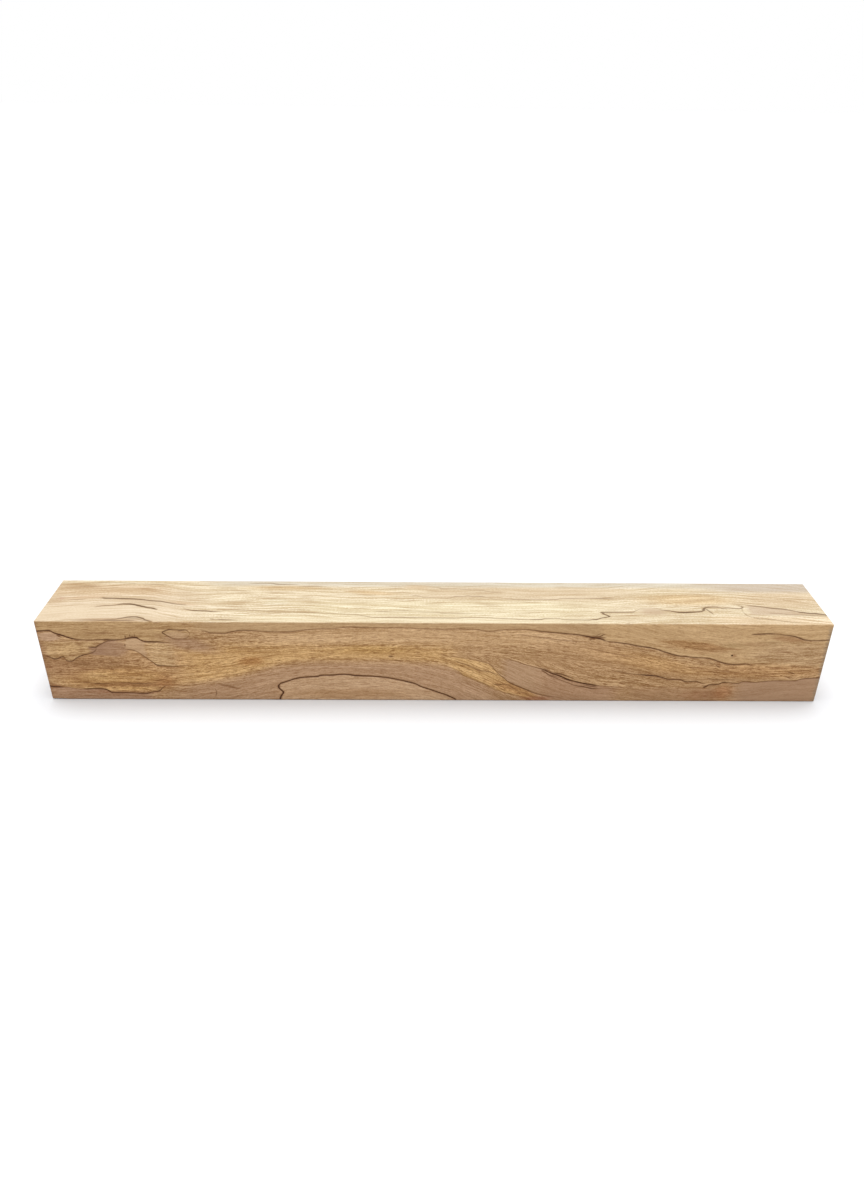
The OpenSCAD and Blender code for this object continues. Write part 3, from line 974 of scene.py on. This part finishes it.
zone_line(top, [
    (8, 184.7, 0.4), (9.3, 182.7, 0.4), (10.5, 181.5, 0.35), (13.5, 180.8, 0.3), (15.8, 180.4, 0.2),
    (19, 180.8, 0.3),
], half_width=0.5, steep=True)
zone_line(top, [
    (184.5, 8, 0.5), (187.3, 6.6, 0.45), (190.5, 6.6, 0.4), (192, 5.8, 0.45), (195, 5.5, 0.45),
    (197.5, 4.3, 0.4), (200.5, 3.5, 0.4), (204, 2.8, 0.35), (208, 2.4, 0.2), (212, 2, 0),
])
right_line = zone_line(top, [
    (184, 22.6, 0), (187.5, 22.4, 0.5), (189.5, 22, 0.6), (192.5, 21.2, 0.6), (196, 20, 0.7),
    (199.5, 19.3, 0.7), (203.5, 18.5, 0.7), (206.5, 17.4, 0.6), (209, 16.2, 0.55), (211, 15, 0.75),
    (213.5, 14.3, 0.85), (216.5, 13.5, 0.8), (219.5, 13.2, 0.85), (222.5, 12.4, 0.75), (225, 11.5, 0.7),
], half_width=0.75)
zone_line(top, [
    (194, 13.8, 0), (196, 13.5, 0.35), (200.5, 12.9, 0.35), (205, 12, 0.35), (209, 11.6, 0.4),
    (219, 10.8, 0.35), (225, 10.4, 0.3),
])
zone_line(top, [
    (-122, 3.6, 0), (-121, 3.4, 0.5), (-118.5, 2.9, 0.35), (-115.8, 2.8, 0.6), (-110, 2.5, 0.55),
    (-107, 2.4, 0.3), (-104, 2.4, 0),
])
zone_line(top, [
    (-8, 33, 0), (-3.5, 33.2, 0.3), (1, 31.4, 0.35), (6, 30.9, 0.3), (15, 30.5, 0.35), (18, 31.6, 0.35),
    (21, 32.8, 0.4), (24, 32.6, 0.35), (27, 33.5, 0.4), (30.5, 32.6, 0.4), (34, 32.8, 0.5), (39, 31.2, 0.2),
    (44, 29.3, 0.2), (49, 29.7, 0.25), (55, 29.1, 0.4), (64, 28.9, 0.45), (78, 29.3, 0.45), (81, 30.5, 0.35),
    (87.5, 30.9, 0.45), (95, 31.1, 0.35), (104, 31.1, 0.5), (109, 31.2, 0.4), (112, 31, 0),
])
zone_line(top, [
    (2, 44, 0), (10.5, 43.8, 0.3), (11.2, 42.9, 0.45), (15, 42.6, 0.4), (20.5, 42.4, 0.35),
    (29.5, 41.6, 0.35), (36, 40.8, 0.35), (39.5, 39.3, 0.3), (44, 38.2, 0.25), (49, 37.8, 0),
])
zone_line(top, [
    (-108, 48.6, 0), (-102, 48.8, 0.4), (-93, 48.9, 0.5), (-89.5, 48, 0.6), (-86, 47.5, 0.55),
    (-79.5, 47.5, 0.4), (-74, 47.2, 0),
], half_width=0.7)
zone_line(top, [(-78, 45.2, 0), (-69, 44.7, 0.4), (-65, 44.7, 0.4), (-59.5, 44.5, 0.3), (-54, 43.6, 0)])
zone_line(top, [
    (-204, 48.3, 0), (-195, 48.6, 0.3), (-184, 48.4, 0.35), (-179, 47.8, 0.35), (-175, 47.4, 0.2),
    (-168, 46.9, 0.35), (-161, 46.6, 0.3), (-156, 46.4, 0),
])
zone_line(top, [(-220, 43.5, 0), (-212, 43.6, 0.3), (-204, 43.8, 0.45), (-201, 43.8, 0.3), (-196, 43.4, 0)])
zone_line(top, [
    (-28, 13.4, 0), (-26, 13.5, 0.3), (-21, 13.2, 0.4), (-17, 13.7, 0.2), (-10, 14.4, 0.35), (-4, 14, 0.2),
    (1, 13, 0.35), (10, 12.8, 0.35), (11, 11.8, 0.35), (22, 11.6, 0.3), (32, 11.5, 0.2), (40, 11.4, 0),
], half_width=0.6)

# Paler towards the front edge in the middle: partly the wood, partly a painted pool of light.
band(top, (201, 189, 162), below=8, start=-130, end=130, fade=60, softness=8, calm=0.5)
band(top, (196, 184, 156), above=7, below=27, start=-90, end=120, fade=40, softness=9, calm=0.2)
band(top, (190, 173, 149), below=40, end=-110, fade=50, softness=12, calm=0.4)
band(top, (196, 180, 156), below=18, end=-140, fade=20, softness=8, strength=0.6, calm=0.75)
band(top, (186, 165, 137), above=32, below=46, end=-140, fade=30, softness=6, calm=0)
band(top, (187, 170, 144), above=29, below=46, start=-20, end=140, fade=40, softness=6, calm=0.3)
# Greyer along the back edge: partly the wood, partly a painted reflection of the sky at a grazing angle.
band(top, (181, 172, 155), above=45, start=-150, fade=40, softness=5, calm=0.5)
stains(top, [
    ((166, 141, 109), (-212, 44), (14, 4.5), 0, 0.9), ((170, 147, 118), (-222, 26), (7, 6), 0, 0.7),
    ((168, 138, 118), (-217.5, 28), (2, 1.2), 0, 0.8), ((160, 134, 106), (-180, 1.6), (20, 2.6), 0, 0.85),
    ((182, 157, 128), (-203, 29.5), (13, 2.6), 0.15, 0.7),
    ((180, 156, 128), (-142, 22.5), (9, 1.8), -0.25, 0.6),
    ((178, 157, 130), (-172, 24.5), (14, 2.5), -0.12, 0.6),
])
stain(top, (184, 158, 118), (-82, 43), (22, 3), softness=0.7, strength=0.6)
stain(top, (184, 158, 120), (-30, 37), (14, 2.5), slope=-0.12, softness=0.7, strength=0.7)
stain(top, (174, 148, 114), (-3, 45), (8, 2.5), strength=0.6)
stain(top, (193, 182, 158), (-86, 24), (7, 4.5), slope=0.1, softness=0.4, strength=0.8)
stain(top, (190, 168, 133), (155, 29.5), (26, 6.5), softness=0.5, strength=0.95, calm=-0.3)
stain(top, (184, 164, 136), (205, 31), (24, 12), strength=0.8, calm=0.2)
# Greyer along the back edge at the right: partly the wood, partly a painted reflection of the sky at a
# grazing angle.
band(top, (172, 160, 145), above=40, start=150, fade=40, softness=7, calm=0.5)
band(top, (174, 154, 130), above=10.5, below=back_bend, start=120, end=141, fade=8, softness=5,
     strength=0.9, calm=0.5)
band(top, (171, 151, 129), above=11, below=right_line, start=182, softness=3, strength=0.8, calm=0.5)
band(top, (198, 180, 153), below=9, start=150, fade=30, softness=4, calm=0.2)

top_flow, _ = traced(top, top["along"], [
    (-225, -3), (-200, 1), (-175, 3), (-150, -1), (-120, -4), (-80, -4), (-40, -7), (0, -8), (50, -9),
    (100, -8), (130, -5), (160, -3), (190, -5), (225, -12),
])
top_grain = grain_along(top, top_flow, longer=5.0, coarser=1.45)
finish_face(
    top,
    top_grain,
    0.92,
    dark_tint=(0.76, 0.68, 0.55, 1),
    light_tint=(1.2, 1.25, 1.32, 1),
    line_colour=(84, 60, 36),
    halo_colour=(152, 126, 92),
    dash_colour=(140, 110, 70),
)

# The back face, which the photograph doesn't show. The same wood: pale under its top edge, streaked golden
# in the middle and mauve low down, with zone lines of its own.

back = new_face("back face", (-math.pi / 2, 0, 0), (0, 0, 0), (184, 150, 110))
back_high_line = zone_line(back, [
    (-225, 30, 0.8), (-216, 31.5, 0.85), (-205, 34, 0.7), (-193, 36.2, 0.8), (-184, 35.4, 0.6),
    (-172, 37.5, 0.5), (-160, 40.6, 0.7), (-149, 41.2, 0.85), (-141, 39, 0.9), (-130, 38.2, 0.6),
    (-116, 39.6, 0.5), (-98, 41.8, 0.55), (-80, 43, 0.4), (-62, 42.4, 0.6), (-47, 40.2, 0.75),
    (-36, 39.4, 0.85), (-22, 36.6, 0.8), (-8, 35.2, 0.6), (10, 34.8, 0.5), (26, 36.2, 0.65), (41, 36.8, 0.7),
    (52, 35.1, 0.4), (60, 34, 0),
])
back_left_line = zone_line(back, [
    (-225, 18, 0.75), (-214, 16.8, 0.8), (-203, 18.2, 0.7), (-192, 21.5, 0.6), (-184, 22.6, 0.8),
    (-175, 21.4, 0.85), (-166, 23.2, 0.6), (-157, 27, 0.7), (-151, 31, 0.8), (-147, 35.6, 0.75),
    (-144.5, 38.6, 0.6),
])
back_arch = zone_line(back, [
    (-112, 0.3, 1), (-108, 3.5, 0.95), (-101, 7.8, 0.9), (-92, 11.2, 0.95), (-80, 13.8, 0.9),
    (-66, 15.2, 0.85), (-52, 15.6, 0.9), (-38, 14.4, 0.9), (-25, 12.2, 0.85), (-12, 9, 0.9), (-2, 6.1, 0.9),
    (6, 3, 0.95), (11, 0.4, 1),
], half_width=0.45)
back_falling_line = zone_line(back, [
    (96, 0.2, 0.9), (99, 3.4, 0.85), (104, 6.2, 0.8), (112, 8.4, 0.75), (121, 9.4, 0.6), (133, 12.2, 0.7),
    (146, 14.8, 0.8), (158, 15.4, 0.85), (170, 17.4, 0.7), (183, 20.8, 0.75), (196, 21.8, 0.6),
    (211, 21.2, 0.7), (225, 22, 0.75),
])
zone_line(back, [
    (70, 28.5, 0), (77, 29.2, 0.5), (85, 31, 0.75), (92, 31.6, 0.9), (99, 30.6, 0.8), (108, 31.4, 0.5),
    (120, 33.6, 0.6), (131, 34.2, 0.7), (143, 32.6, 0.4), (152, 32, 0),
])
zone_line(back, [
    (160, 41, 0), (168, 41.6, 0.5), (179, 43, 0.7), (190, 43.4, 0.75), (199, 41.8, 0.6), (208, 41.5, 0.4),
    (215, 42, 0),
])
zone_line(back, [(-70, 24.5, 0), (-62, 24.8, 0.4), (-51, 26.2, 0.5), (-40, 26.6, 0.45), (-28, 25.4, 0)])
band(back, (183, 171, 152), above=44, softness=8, strength=0.9, calm=0.45)
band(back, (189, 160, 118), above=back_high_line, below=48, end=70, fade=20, softness=3, strength=0.8,
     calm=0.3)
stains(back, [
    ((190, 150, 96), (20, 25), (110, 7.5), -0.02, 0.85), ((176, 132, 84), (-60, 29.5), (36, 3.4), 0.03, 0.7),
    ((178, 138, 92), (132, 26), (44, 5), 0.06, 0.7),
])
band(back, (175, 140, 108), below=12.5, start=-150, end=100, fade=36, softness=9, strength=0.9, calm=0.45)
band(back, (186, 152, 118), below=back_arch, start=-112, end=12, fade=1, softness=0.8, strength=0.95,
     calm=0.5)
band(back, (168, 133, 103), below=back_falling_line, start=95, fade=3, softness=1, strength=0.95, calm=0.55)
band(back, (191, 156, 119), above=back_left_line, below=back_high_line, end=-145, softness=1, calm=0.3)
stain(back, (162, 124, 90), (-196, 8), (34, 7), slope=0.06, softness=0.5, strength=0.8, calm=0.2)
stain(back, (165, 124, 84), (62, 39), (17, 2.2), slope=-0.03, strength=0.8)
stain(back, (170, 134, 104), (-118, 30), (20, 4.5), slope=0.1, strength=0.7, calm=0.3)
flecks(back, dark_fleck, [
    (91.5, 32.2, 3, 0.8, 0, 0.8), (89.5, 31, 1.8, 0.4, 0.3, 0.7), (94.6, 30.9, 1.6, 0.3, -0.2, 0.7),
    (-141.2, 39.6, 2, 0.5, -0.4, 0.7), (-36, 39, 2.4, 0.4, -0.1, 0.6), (158.4, 15.8, 2.2, 0.4, 0.1, 0.6),
    (-184.4, 23, 1.8, 0.4, 0, 0.6),
])
flecks(back, brown_fleck, [
    (-172, 11.5, 6, 0.4, 0.04, 0.6), (-150, 15.2, 5, 0.35, 0.08, 0.5), (-96, 22, 7, 0.35, 0.03, 0.5),
    (-12, 28.5, 6, 0.35, -0.02, 0.6), (18, 20.6, 8, 0.4, -0.03, 0.55), (47, 27.3, 5, 0.3, 0, 0.5),
    (74, 18.4, 6, 0.35, 0.05, 0.6), (118, 24.6, 6, 0.35, 0.06, 0.5), (172, 28.4, 8, 0.4, 0.03, 0.5),
    (204, 33, 5, 0.3, 0, 0.5),
])
# Painted shade along the lower edge, where the stick meets the floor.
band(back, (128, 96, 70), below=0.5, softness=1.4, strength=0.6)
back_flow, _ = traced(back, back["along"], [
    (-225, 0), (-190, 1), (-150, 4), (-110, 8), (-70, 11), (-30, 10), (10, 5), (50, 1), (90, 1), (140, 5),
    (185, 9), (225, 9),
])
finish_face(back, grain_along(back, back_flow), 0.9, **TONES)

# The face that the stick lies on. The arched line of the front closes here in a loop, and the lines that
# reach the ends and the back's lower edge run on.

under = new_face("resting face", (0, 0, 0), (0, 26, 0), (180, 147, 110))
zone_line(under, [
    (0, -93, 1), (3.5, -94.3, 0.95), (7.5, -93.2, 0.9), (11.5, -90, 0.9), (13.6, -87, 0.9),
], half_width=0.5, steep=True)
loop_line = zone_line(under, [
    (-87.5, 13.4, 0.9), (-81, 17, 0.9), (-72, 19.2, 0.85), (-61, 22, 0.9), (-49, 23.6, 0.85),
    (-36, 23.2, 0.9), (-25, 24.1, 0.8), (-14, 21.4, 0.85), (-6, 17.6, 0.9), (0, 13.4, 0.9), (5, 8, 0.9),
    (8, 4.2, 0.95), (10.2, 0, 1),
])
zone_line(under, [
    (56, 0, 0.3), (64, 2, 0.45), (75, 4.2, 0.5), (88, 8, 0.45), (102, 9.6, 0.35), (118, 12.6, 0.3),
    (132, 13.4, 0),
])
back_edge_line = zone_line(under, [
    (96, 52, 0.9), (101, 48.6, 0.85), (110, 45.4, 0.8), (122, 43.8, 0.65), (134, 41, 0.7), (147, 39.8, 0.8),
    (160, 37.2, 0.75), (173, 36.4, 0.6), (187, 34.6, 0.7), (200, 32.2, 0.8), (212, 31.8, 0.7),
    (225, 31, 0.75),
])
right_corner_line = zone_line(under, [
    (170, 2, 0), (176, 5, 0.4), (184, 8.6, 0.6), (192, 12.4, 0.75), (201, 15, 0.8), (210, 18.6, 0.7),
    (225, 21, 0.75),
])
left_corner_line = zone_line(under, [
    (-225, 20, 0.8), (-217, 19.2, 0.85), (-208, 17.4, 0.7), (-199, 16.6, 0.6), (-190, 13.6, 0.75),
    (-182, 11, 0.8), (-174, 8.4, 0.6), (-167, 5, 0.45), (-162, 2, 0),
])
zone_line(under, [
    (-225, 38, 0.5), (-213, 38.8, 0.7), (-198, 41, 0.6), (-184, 42.4, 0.75), (-170, 41.2, 0.8),
    (-156, 42.8, 0.6), (-140, 45.8, 0.7), (-128, 48.4, 0.8), (-118, 50.6, 0.9), (-112, 52, 1),
])
zone_line(under, [
    (11, 52, 1), (16, 49.4, 0.9), (24, 47, 0.8), (35, 45.8, 0.6), (48, 46.6, 0.4), (57, 46.2, 0),
])
zone_line(under, [
    (-40, 36.5, 0), (-30, 37, 0.4), (-16, 35.4, 0.55), (-2, 33.4, 0.6), (12, 33, 0.5), (28, 30.6, 0.4),
    (38, 30, 0),
])
band(under, (176, 141, 109), below=14, start=-176, end=70, fade=40, softness=10, strength=0.9, calm=0.45)
band(under, (187, 153, 119), below=loop_line, start=-94, end=12, fade=1, softness=0.8, strength=0.95,
     calm=0.5)
stains(under, [
    ((189, 150, 99), (-10, 36), (130, 7), -0.02, 0.8), ((176, 134, 88), (-150, 30), (46, 5), 0.04, 0.7),
    ((180, 140, 92), (120, 26), (56, 6), 0.05, 0.7),
])
band(under, (162, 125, 94), below=left_corner_line, end=-163, fade=8, softness=1, calm=0.45)
band(under, (163, 126, 90), below=9, start=100, end=182, fade=22, softness=6, calm=0.5)
band(under, (168, 134, 104), below=right_corner_line, start=170, fade=10, softness=1, calm=0.6)
band(under, (170, 135, 104), above=back_edge_line, start=95, softness=1, strength=0.95, calm=0.5)
stain(under, (164, 124, 86), (40, 40.5), (20, 2.6), strength=0.7)
flecks(under, brown_fleck, [
    (-118, 22, 6, 0.4, 0.04, 0.6), (-150, 24, 5, 0.35, 0.03, 0.5), (-60, 31, 7, 0.35, 0, 0.5),
    (34, 23, 6, 0.35, -0.03, 0.6), (78, 31, 7, 0.4, 0.03, 0.55), (140, 24, 6, 0.35, 0.05, 0.5),
    (190, 26, 6, 0.35, 0.04, 0.5), (-196, 30, 5, 0.35, 0.02, 0.6),
])
under_flow, _ = traced(under, under["along"], [
    (-225, -2), (-180, -4), (-130, 0), (-90, 5), (-50, 8), (-10, 5), (30, 0), (80, 2), (130, 6), (180, 9),
    (225, 10),
])
finish_face(under, grain_along(under, under_flow), 0.9, **TONES)

# The sawn ends. End grain, darker than the faces, as a crosscut leaves it: growth rings round a pith that
# lies behind the stick, fine rays and pores, and the faint arcs of the saw. Places on them are across and
# up, in mm.

PITH = (95, 8)
RING_WIDTH = 3.4
SAW_AXLE = (30, -105)

end_group, given, result = new_group(
    "end grain", {"Across": 0, "Up": 0, "Deep": 0}, ["Broad", "Fine", "Dashes", "Fibres", "Saw"]
)
spot = joined(end_group, given["Across"], given["Up"], given["Deep"])
feed(end_group, result["Dashes"], eased(end_group, noise(end_group, spot, (0.5, 0.5, 2), 1), 0.66, 0.86))
saw_across = maths(end_group, "SUBTRACT", given["Across"], SAW_AXLE[0])
saw_up = maths(end_group, "SUBTRACT", given["Up"], SAW_AXLE[1])
saw_across = maths(end_group, "MULTIPLY", saw_across, saw_across)
saw_reach = maths(end_group, "SQRT", maths(end_group, "MULTIPLY_ADD", saw_up, saw_up, saw_across))
saw_marks = noise(end_group, joined(end_group, saw_reach, given["Deep"]), (0.9, 20, 1), 2, 0.7)
feed(end_group, result["Saw"], saw_marks)
wavering = noise(end_group, spot, (11, 11, 40), 1.5)
from_pith = maths(end_group, "SUBTRACT", PITH[0], given["Across"])
above_pith = maths(end_group, "SUBTRACT", given["Up"], PITH[1])
ray = maths(end_group, "MULTIPLY", maths(end_group, "ARCTAN2", above_pith, from_pith), PITH[0])
from_pith = maths(end_group, "MULTIPLY", from_pith, from_pith)
radius = maths(end_group, "SQRT", maths(end_group, "MULTIPLY_ADD", above_pith, above_pith, from_pith))
radius = maths(end_group, "MULTIPLY_ADD", wavering, 2.2, radius)
in_rings = joined(end_group, radius, ray, given["Deep"])
feed(end_group, result["Broad"], noise(end_group, in_rings, (7, 26, 40), 1))
rays = noise(end_group, joined(end_group, radius, ray), (5.0, 0.42, 1), 2, 0.6)
rays = maths(end_group, "MULTIPLY", rays, 0.7)
feed(end_group, result["Fibres"], maths(end_group, "MULTIPLY_ADD", saw_marks, 0.3, rays))
crowding = noise(end_group, joined(end_group, radius, 0.0), (8, 1, 1), 1)
year = maths(end_group, "MULTIPLY_ADD", crowding, 0.9, maths(end_group, "DIVIDE", radius, RING_WIDTH))
year = maths(end_group, "FRACT", year)
thickening = eased(end_group, year, 0.45, 0.93)
stopping = eased(end_group, year, 0.93, 1.0, 1, 0)
late_wood = maths(end_group, "MULTIPLY", thickening, stopping)
feed(end_group, result["Fine"], maths(end_group, "MULTIPLY_ADD", late_wood, -0.42, 0.62))

left_end = new_face("left sawn end", (-math.pi / 2, -math.pi / 2, 0), (0, 0, 0), (160, 126, 92))
zone_line(left_end, [
    (-26, 45.5, 0.9), (-22.5, 46.8, 0.9), (-18, 46.2, 0.8), (-13.5, 43.8, 0.9), (-9, 41.6, 0.85),
    (-4, 37, 0.8), (1, 33.6, 0.9), (7, 31.8, 0.85), (13, 30.2, 0.8), (19, 30.8, 0.85), (26, 30, 0.85),
], half_width=0.5)
zone_line(left_end, [
    (-26, 9, 0.95), (-22, 10.6, 0.9), (-18, 10.2, 0.85), (-14.5, 8.6, 0.9), (-11.5, 7.8, 0.9), (-9, 5, 0.9),
    (-7.4, 2.6, 0.85), (-6, 0, 0.85),
], half_width=0.5)
zone_line(left_end, [
    (-9, 22, 0), (-5, 20.2, 0.6), (0, 18.6, 0.8), (5, 16.4, 0.85), (9.5, 16.8, 0.9), (15, 19.6, 0.8),
    (20, 19.4, 0.85), (26, 18, 0.8),
], half_width=0.5)
zone_line(left_end, [
    (0, 12, 0.6), (4, 12.6, 0.8), (8.5, 11.4, 0.75), (12, 9.4, 0.5), (14, 7.6, 0),
], steep=True)
band(left_end, (180, 152, 120), above=43, softness=14, strength=0.85, calm=0.2)
stain(left_end, (144, 108, 76), (-18, 18), (12, 9), softness=0.5, strength=0.8)
stain(left_end, (134, 100, 74), (-18, 4), (9, 5.5), softness=0.35, strength=0.9)
stain(left_end, (166, 134, 104), (10, 25), (18, 5), slope=-0.1, softness=0.4, strength=0.8)
stain(left_end, (146, 112, 84), (14, 8), (14, 7), strength=0.7)

right_end = new_face("right sawn end", (-math.pi / 2, -math.pi / 2, 0), (0, 0, 0), (160, 126, 92))
zone_line(right_end, [
    (-26, 42, 0.85), (-23.4, 43, 0.9), (-20.8, 45.4, 0.85), (-18.6, 47, 0.8), (-16.6, 49.2, 0.9),
    (-14.6, 52, 0.9),
], half_width=0.5)
right_low_line = zone_line(right_end, [
    (-26, 16.7, 0.85), (-22, 15.4, 0.9), (-18, 12.4, 0.8), (-14.5, 11.2, 0.85), (-11, 7.6, 0.9),
    (-8, 3.6, 0.85), (-5, 0, 0.85),
], half_width=0.5)
zone_line(right_end, [
    (5, 0, 0.85), (7, 3.8, 0.9), (10.4, 7.4, 0.85), (12, 11, 0.8), (15.6, 14.4, 0.9), (19, 18.8, 0.85),
    (22, 20.6, 0.9), (26, 22, 0.85),
], half_width=0.5)
zone_line(right_end, [
    (-6, 27, 0), (-2, 28.4, 0.6), (3, 31.4, 0.8), (8, 32, 0.7), (12.5, 35, 0.5), (15, 36, 0),
])
band(right_end, (180, 152, 120), above=44, softness=14, strength=0.85, calm=0.2)
stain(right_end, (166, 134, 100), (-18, 47), (8, 4), softness=0.5, strength=0.7)
band(right_end, (138, 106, 80), below=right_low_line, end=-4, fade=3, softness=1, strength=0.9)
stain(right_end, (140, 107, 79), (18, 7), (10, 7), softness=0.4, strength=0.85)
stain(right_end, (150, 112, 74), (-8, 24), (15, 6), slope=0.2, strength=0.7)
stain(right_end, (168, 138, 104), (12, 32), (13, 7), strength=0.6)

for end in (left_end, right_end):
    end_grain = placed(end["tree"], end_group, Across=end["along"], Up=end["across"], Deep=end["deep"])
    finish_face(
        end,
        end_grain,
        1.0,
        dark_tint=(0.6, 0.53, 0.44, 1),
        light_tint=(1.34, 1.4, 1.46, 1),
        line_colour=(54, 30, 15),
        halo_colour=(112, 76, 48),
        dash_colour=(98, 66, 42),
        relief=end_grain["Saw"],
    )

# The insides of the pin hole and the checks: old broken wood, painted dark brown as the shade deep in them.
crevice = bpy.data.materials.new("inside of hole and checks")
crevice.use_nodes = True
crevice_shader = crevice.node_tree.nodes["Principled BSDF"]
crevice_shader.inputs["Base Color"].default_value = tint(84, 52, 30)
crevice_shader.inputs["Roughness"].default_value = 0.8
crevice_shader.inputs["Specular IOR Level"].default_value = 0.1
stick.data.materials.append(crevice)

# The six sides: the way that each looks, and the ways across it and up it on the sheet for baking.
SIDES = [
    [Vector(way) for way in ways]
    for ways in (
        ((0, -1, 0), (1, 0, 0), (0, 0, 1)),
        ((0, 0, 1), (1, 0, 0), (0, 1, 0)),
        ((0, 1, 0), (-1, 0, 0), (0, 0, 1)),
        ((0, 0, -1), (1, 0, 0), (0, -1, 0)),
        ((-1, 0, 0), (0, -1, 0), (0, 0, 1)),
        ((1, 0, 0), (0, 1, 0), (0, 0, 1)),
    )
]
BACK_SIDE = 2
FIRST_END = 4

# Each face of the mesh takes the material of the side that it looks to most. What lies deeper than the eased
# edges, in the hole and the checks, takes the last one.
CLEAR_OF_EDGES = 2 * MM
SHALLOWEST_IN_A_CUT = 0.3 * MM
DEEPEST_IN_A_CUT = 7 * MM
for polygon in stick.data.polygons:
    looks = [polygon.normal.dot(outwards) for outwards, _, _ in SIDES]
    middle = polygon.center
    from_rim = min(middle.z - stick_low.z, stick_high.z - middle.z, stick_high.x - abs(middle.x))
    deep = middle.y - stick_low.y
    in_a_cut = from_rim > CLEAR_OF_EDGES and SHALLOWEST_IN_A_CUT < deep < DEEPEST_IN_A_CUT
    polygon.material_index = len(SIDES) if in_a_cut else looks.index(max(looks))

# The sheet that the faces are laid out on for baking, 323 mm square. Each long face is parted 95 mm left of
# the middle, and the long parts lie in four rows below the short ones.
SHEET = 323 * MM
PARTED_AT = -95 * MM
ROW = 53.6 * MM
MARGIN = 1.4 * MM
SHORT_PARTS_APART = 132 * MM
ENDS_FROM_LEFT = 291.4 * MM
CUTS_FROM_LEFT = 318.5 * MM
layout = stick.data.uv_layers.new(name="OFBake")
for polygon in stick.data.polygons:
    side = polygon.material_index
    for loop in polygon.loop_indices:
        spot = stick.data.vertices[stick.data.loops[loop].vertex_index].co
        if side == len(SIDES):
            u = CUTS_FROM_LEFT + (spot.y - stick_low.y) * 0.5
            v = 5 * ROW + (spot.x - stick_low.x) * 0.1
        else:
            on_sheet = spot - stick_middle
            _, across, up = SIDES[side]
            u = on_sheet.dot(across)
            v = on_sheet.dot(up) + stick_size.z / 2
            if side >= FIRST_END:
                u += ENDS_FROM_LEFT
                v += MARGIN + side * ROW
            elif polygon.center.x > PARTED_AT:
                u += -PARTED_AT if side != BACK_SIDE else stick_high.x
                u += MARGIN
                v += MARGIN + side * ROW
            else:
                u += stick_high.x if side != BACK_SIDE else PARTED_AT
                u += MARGIN + (side % 2) * SHORT_PARTS_APART
                v += MARGIN + (4 + side // 2) * ROW
        layout.data[loop].uv = (u / SHEET, v / SHEET)
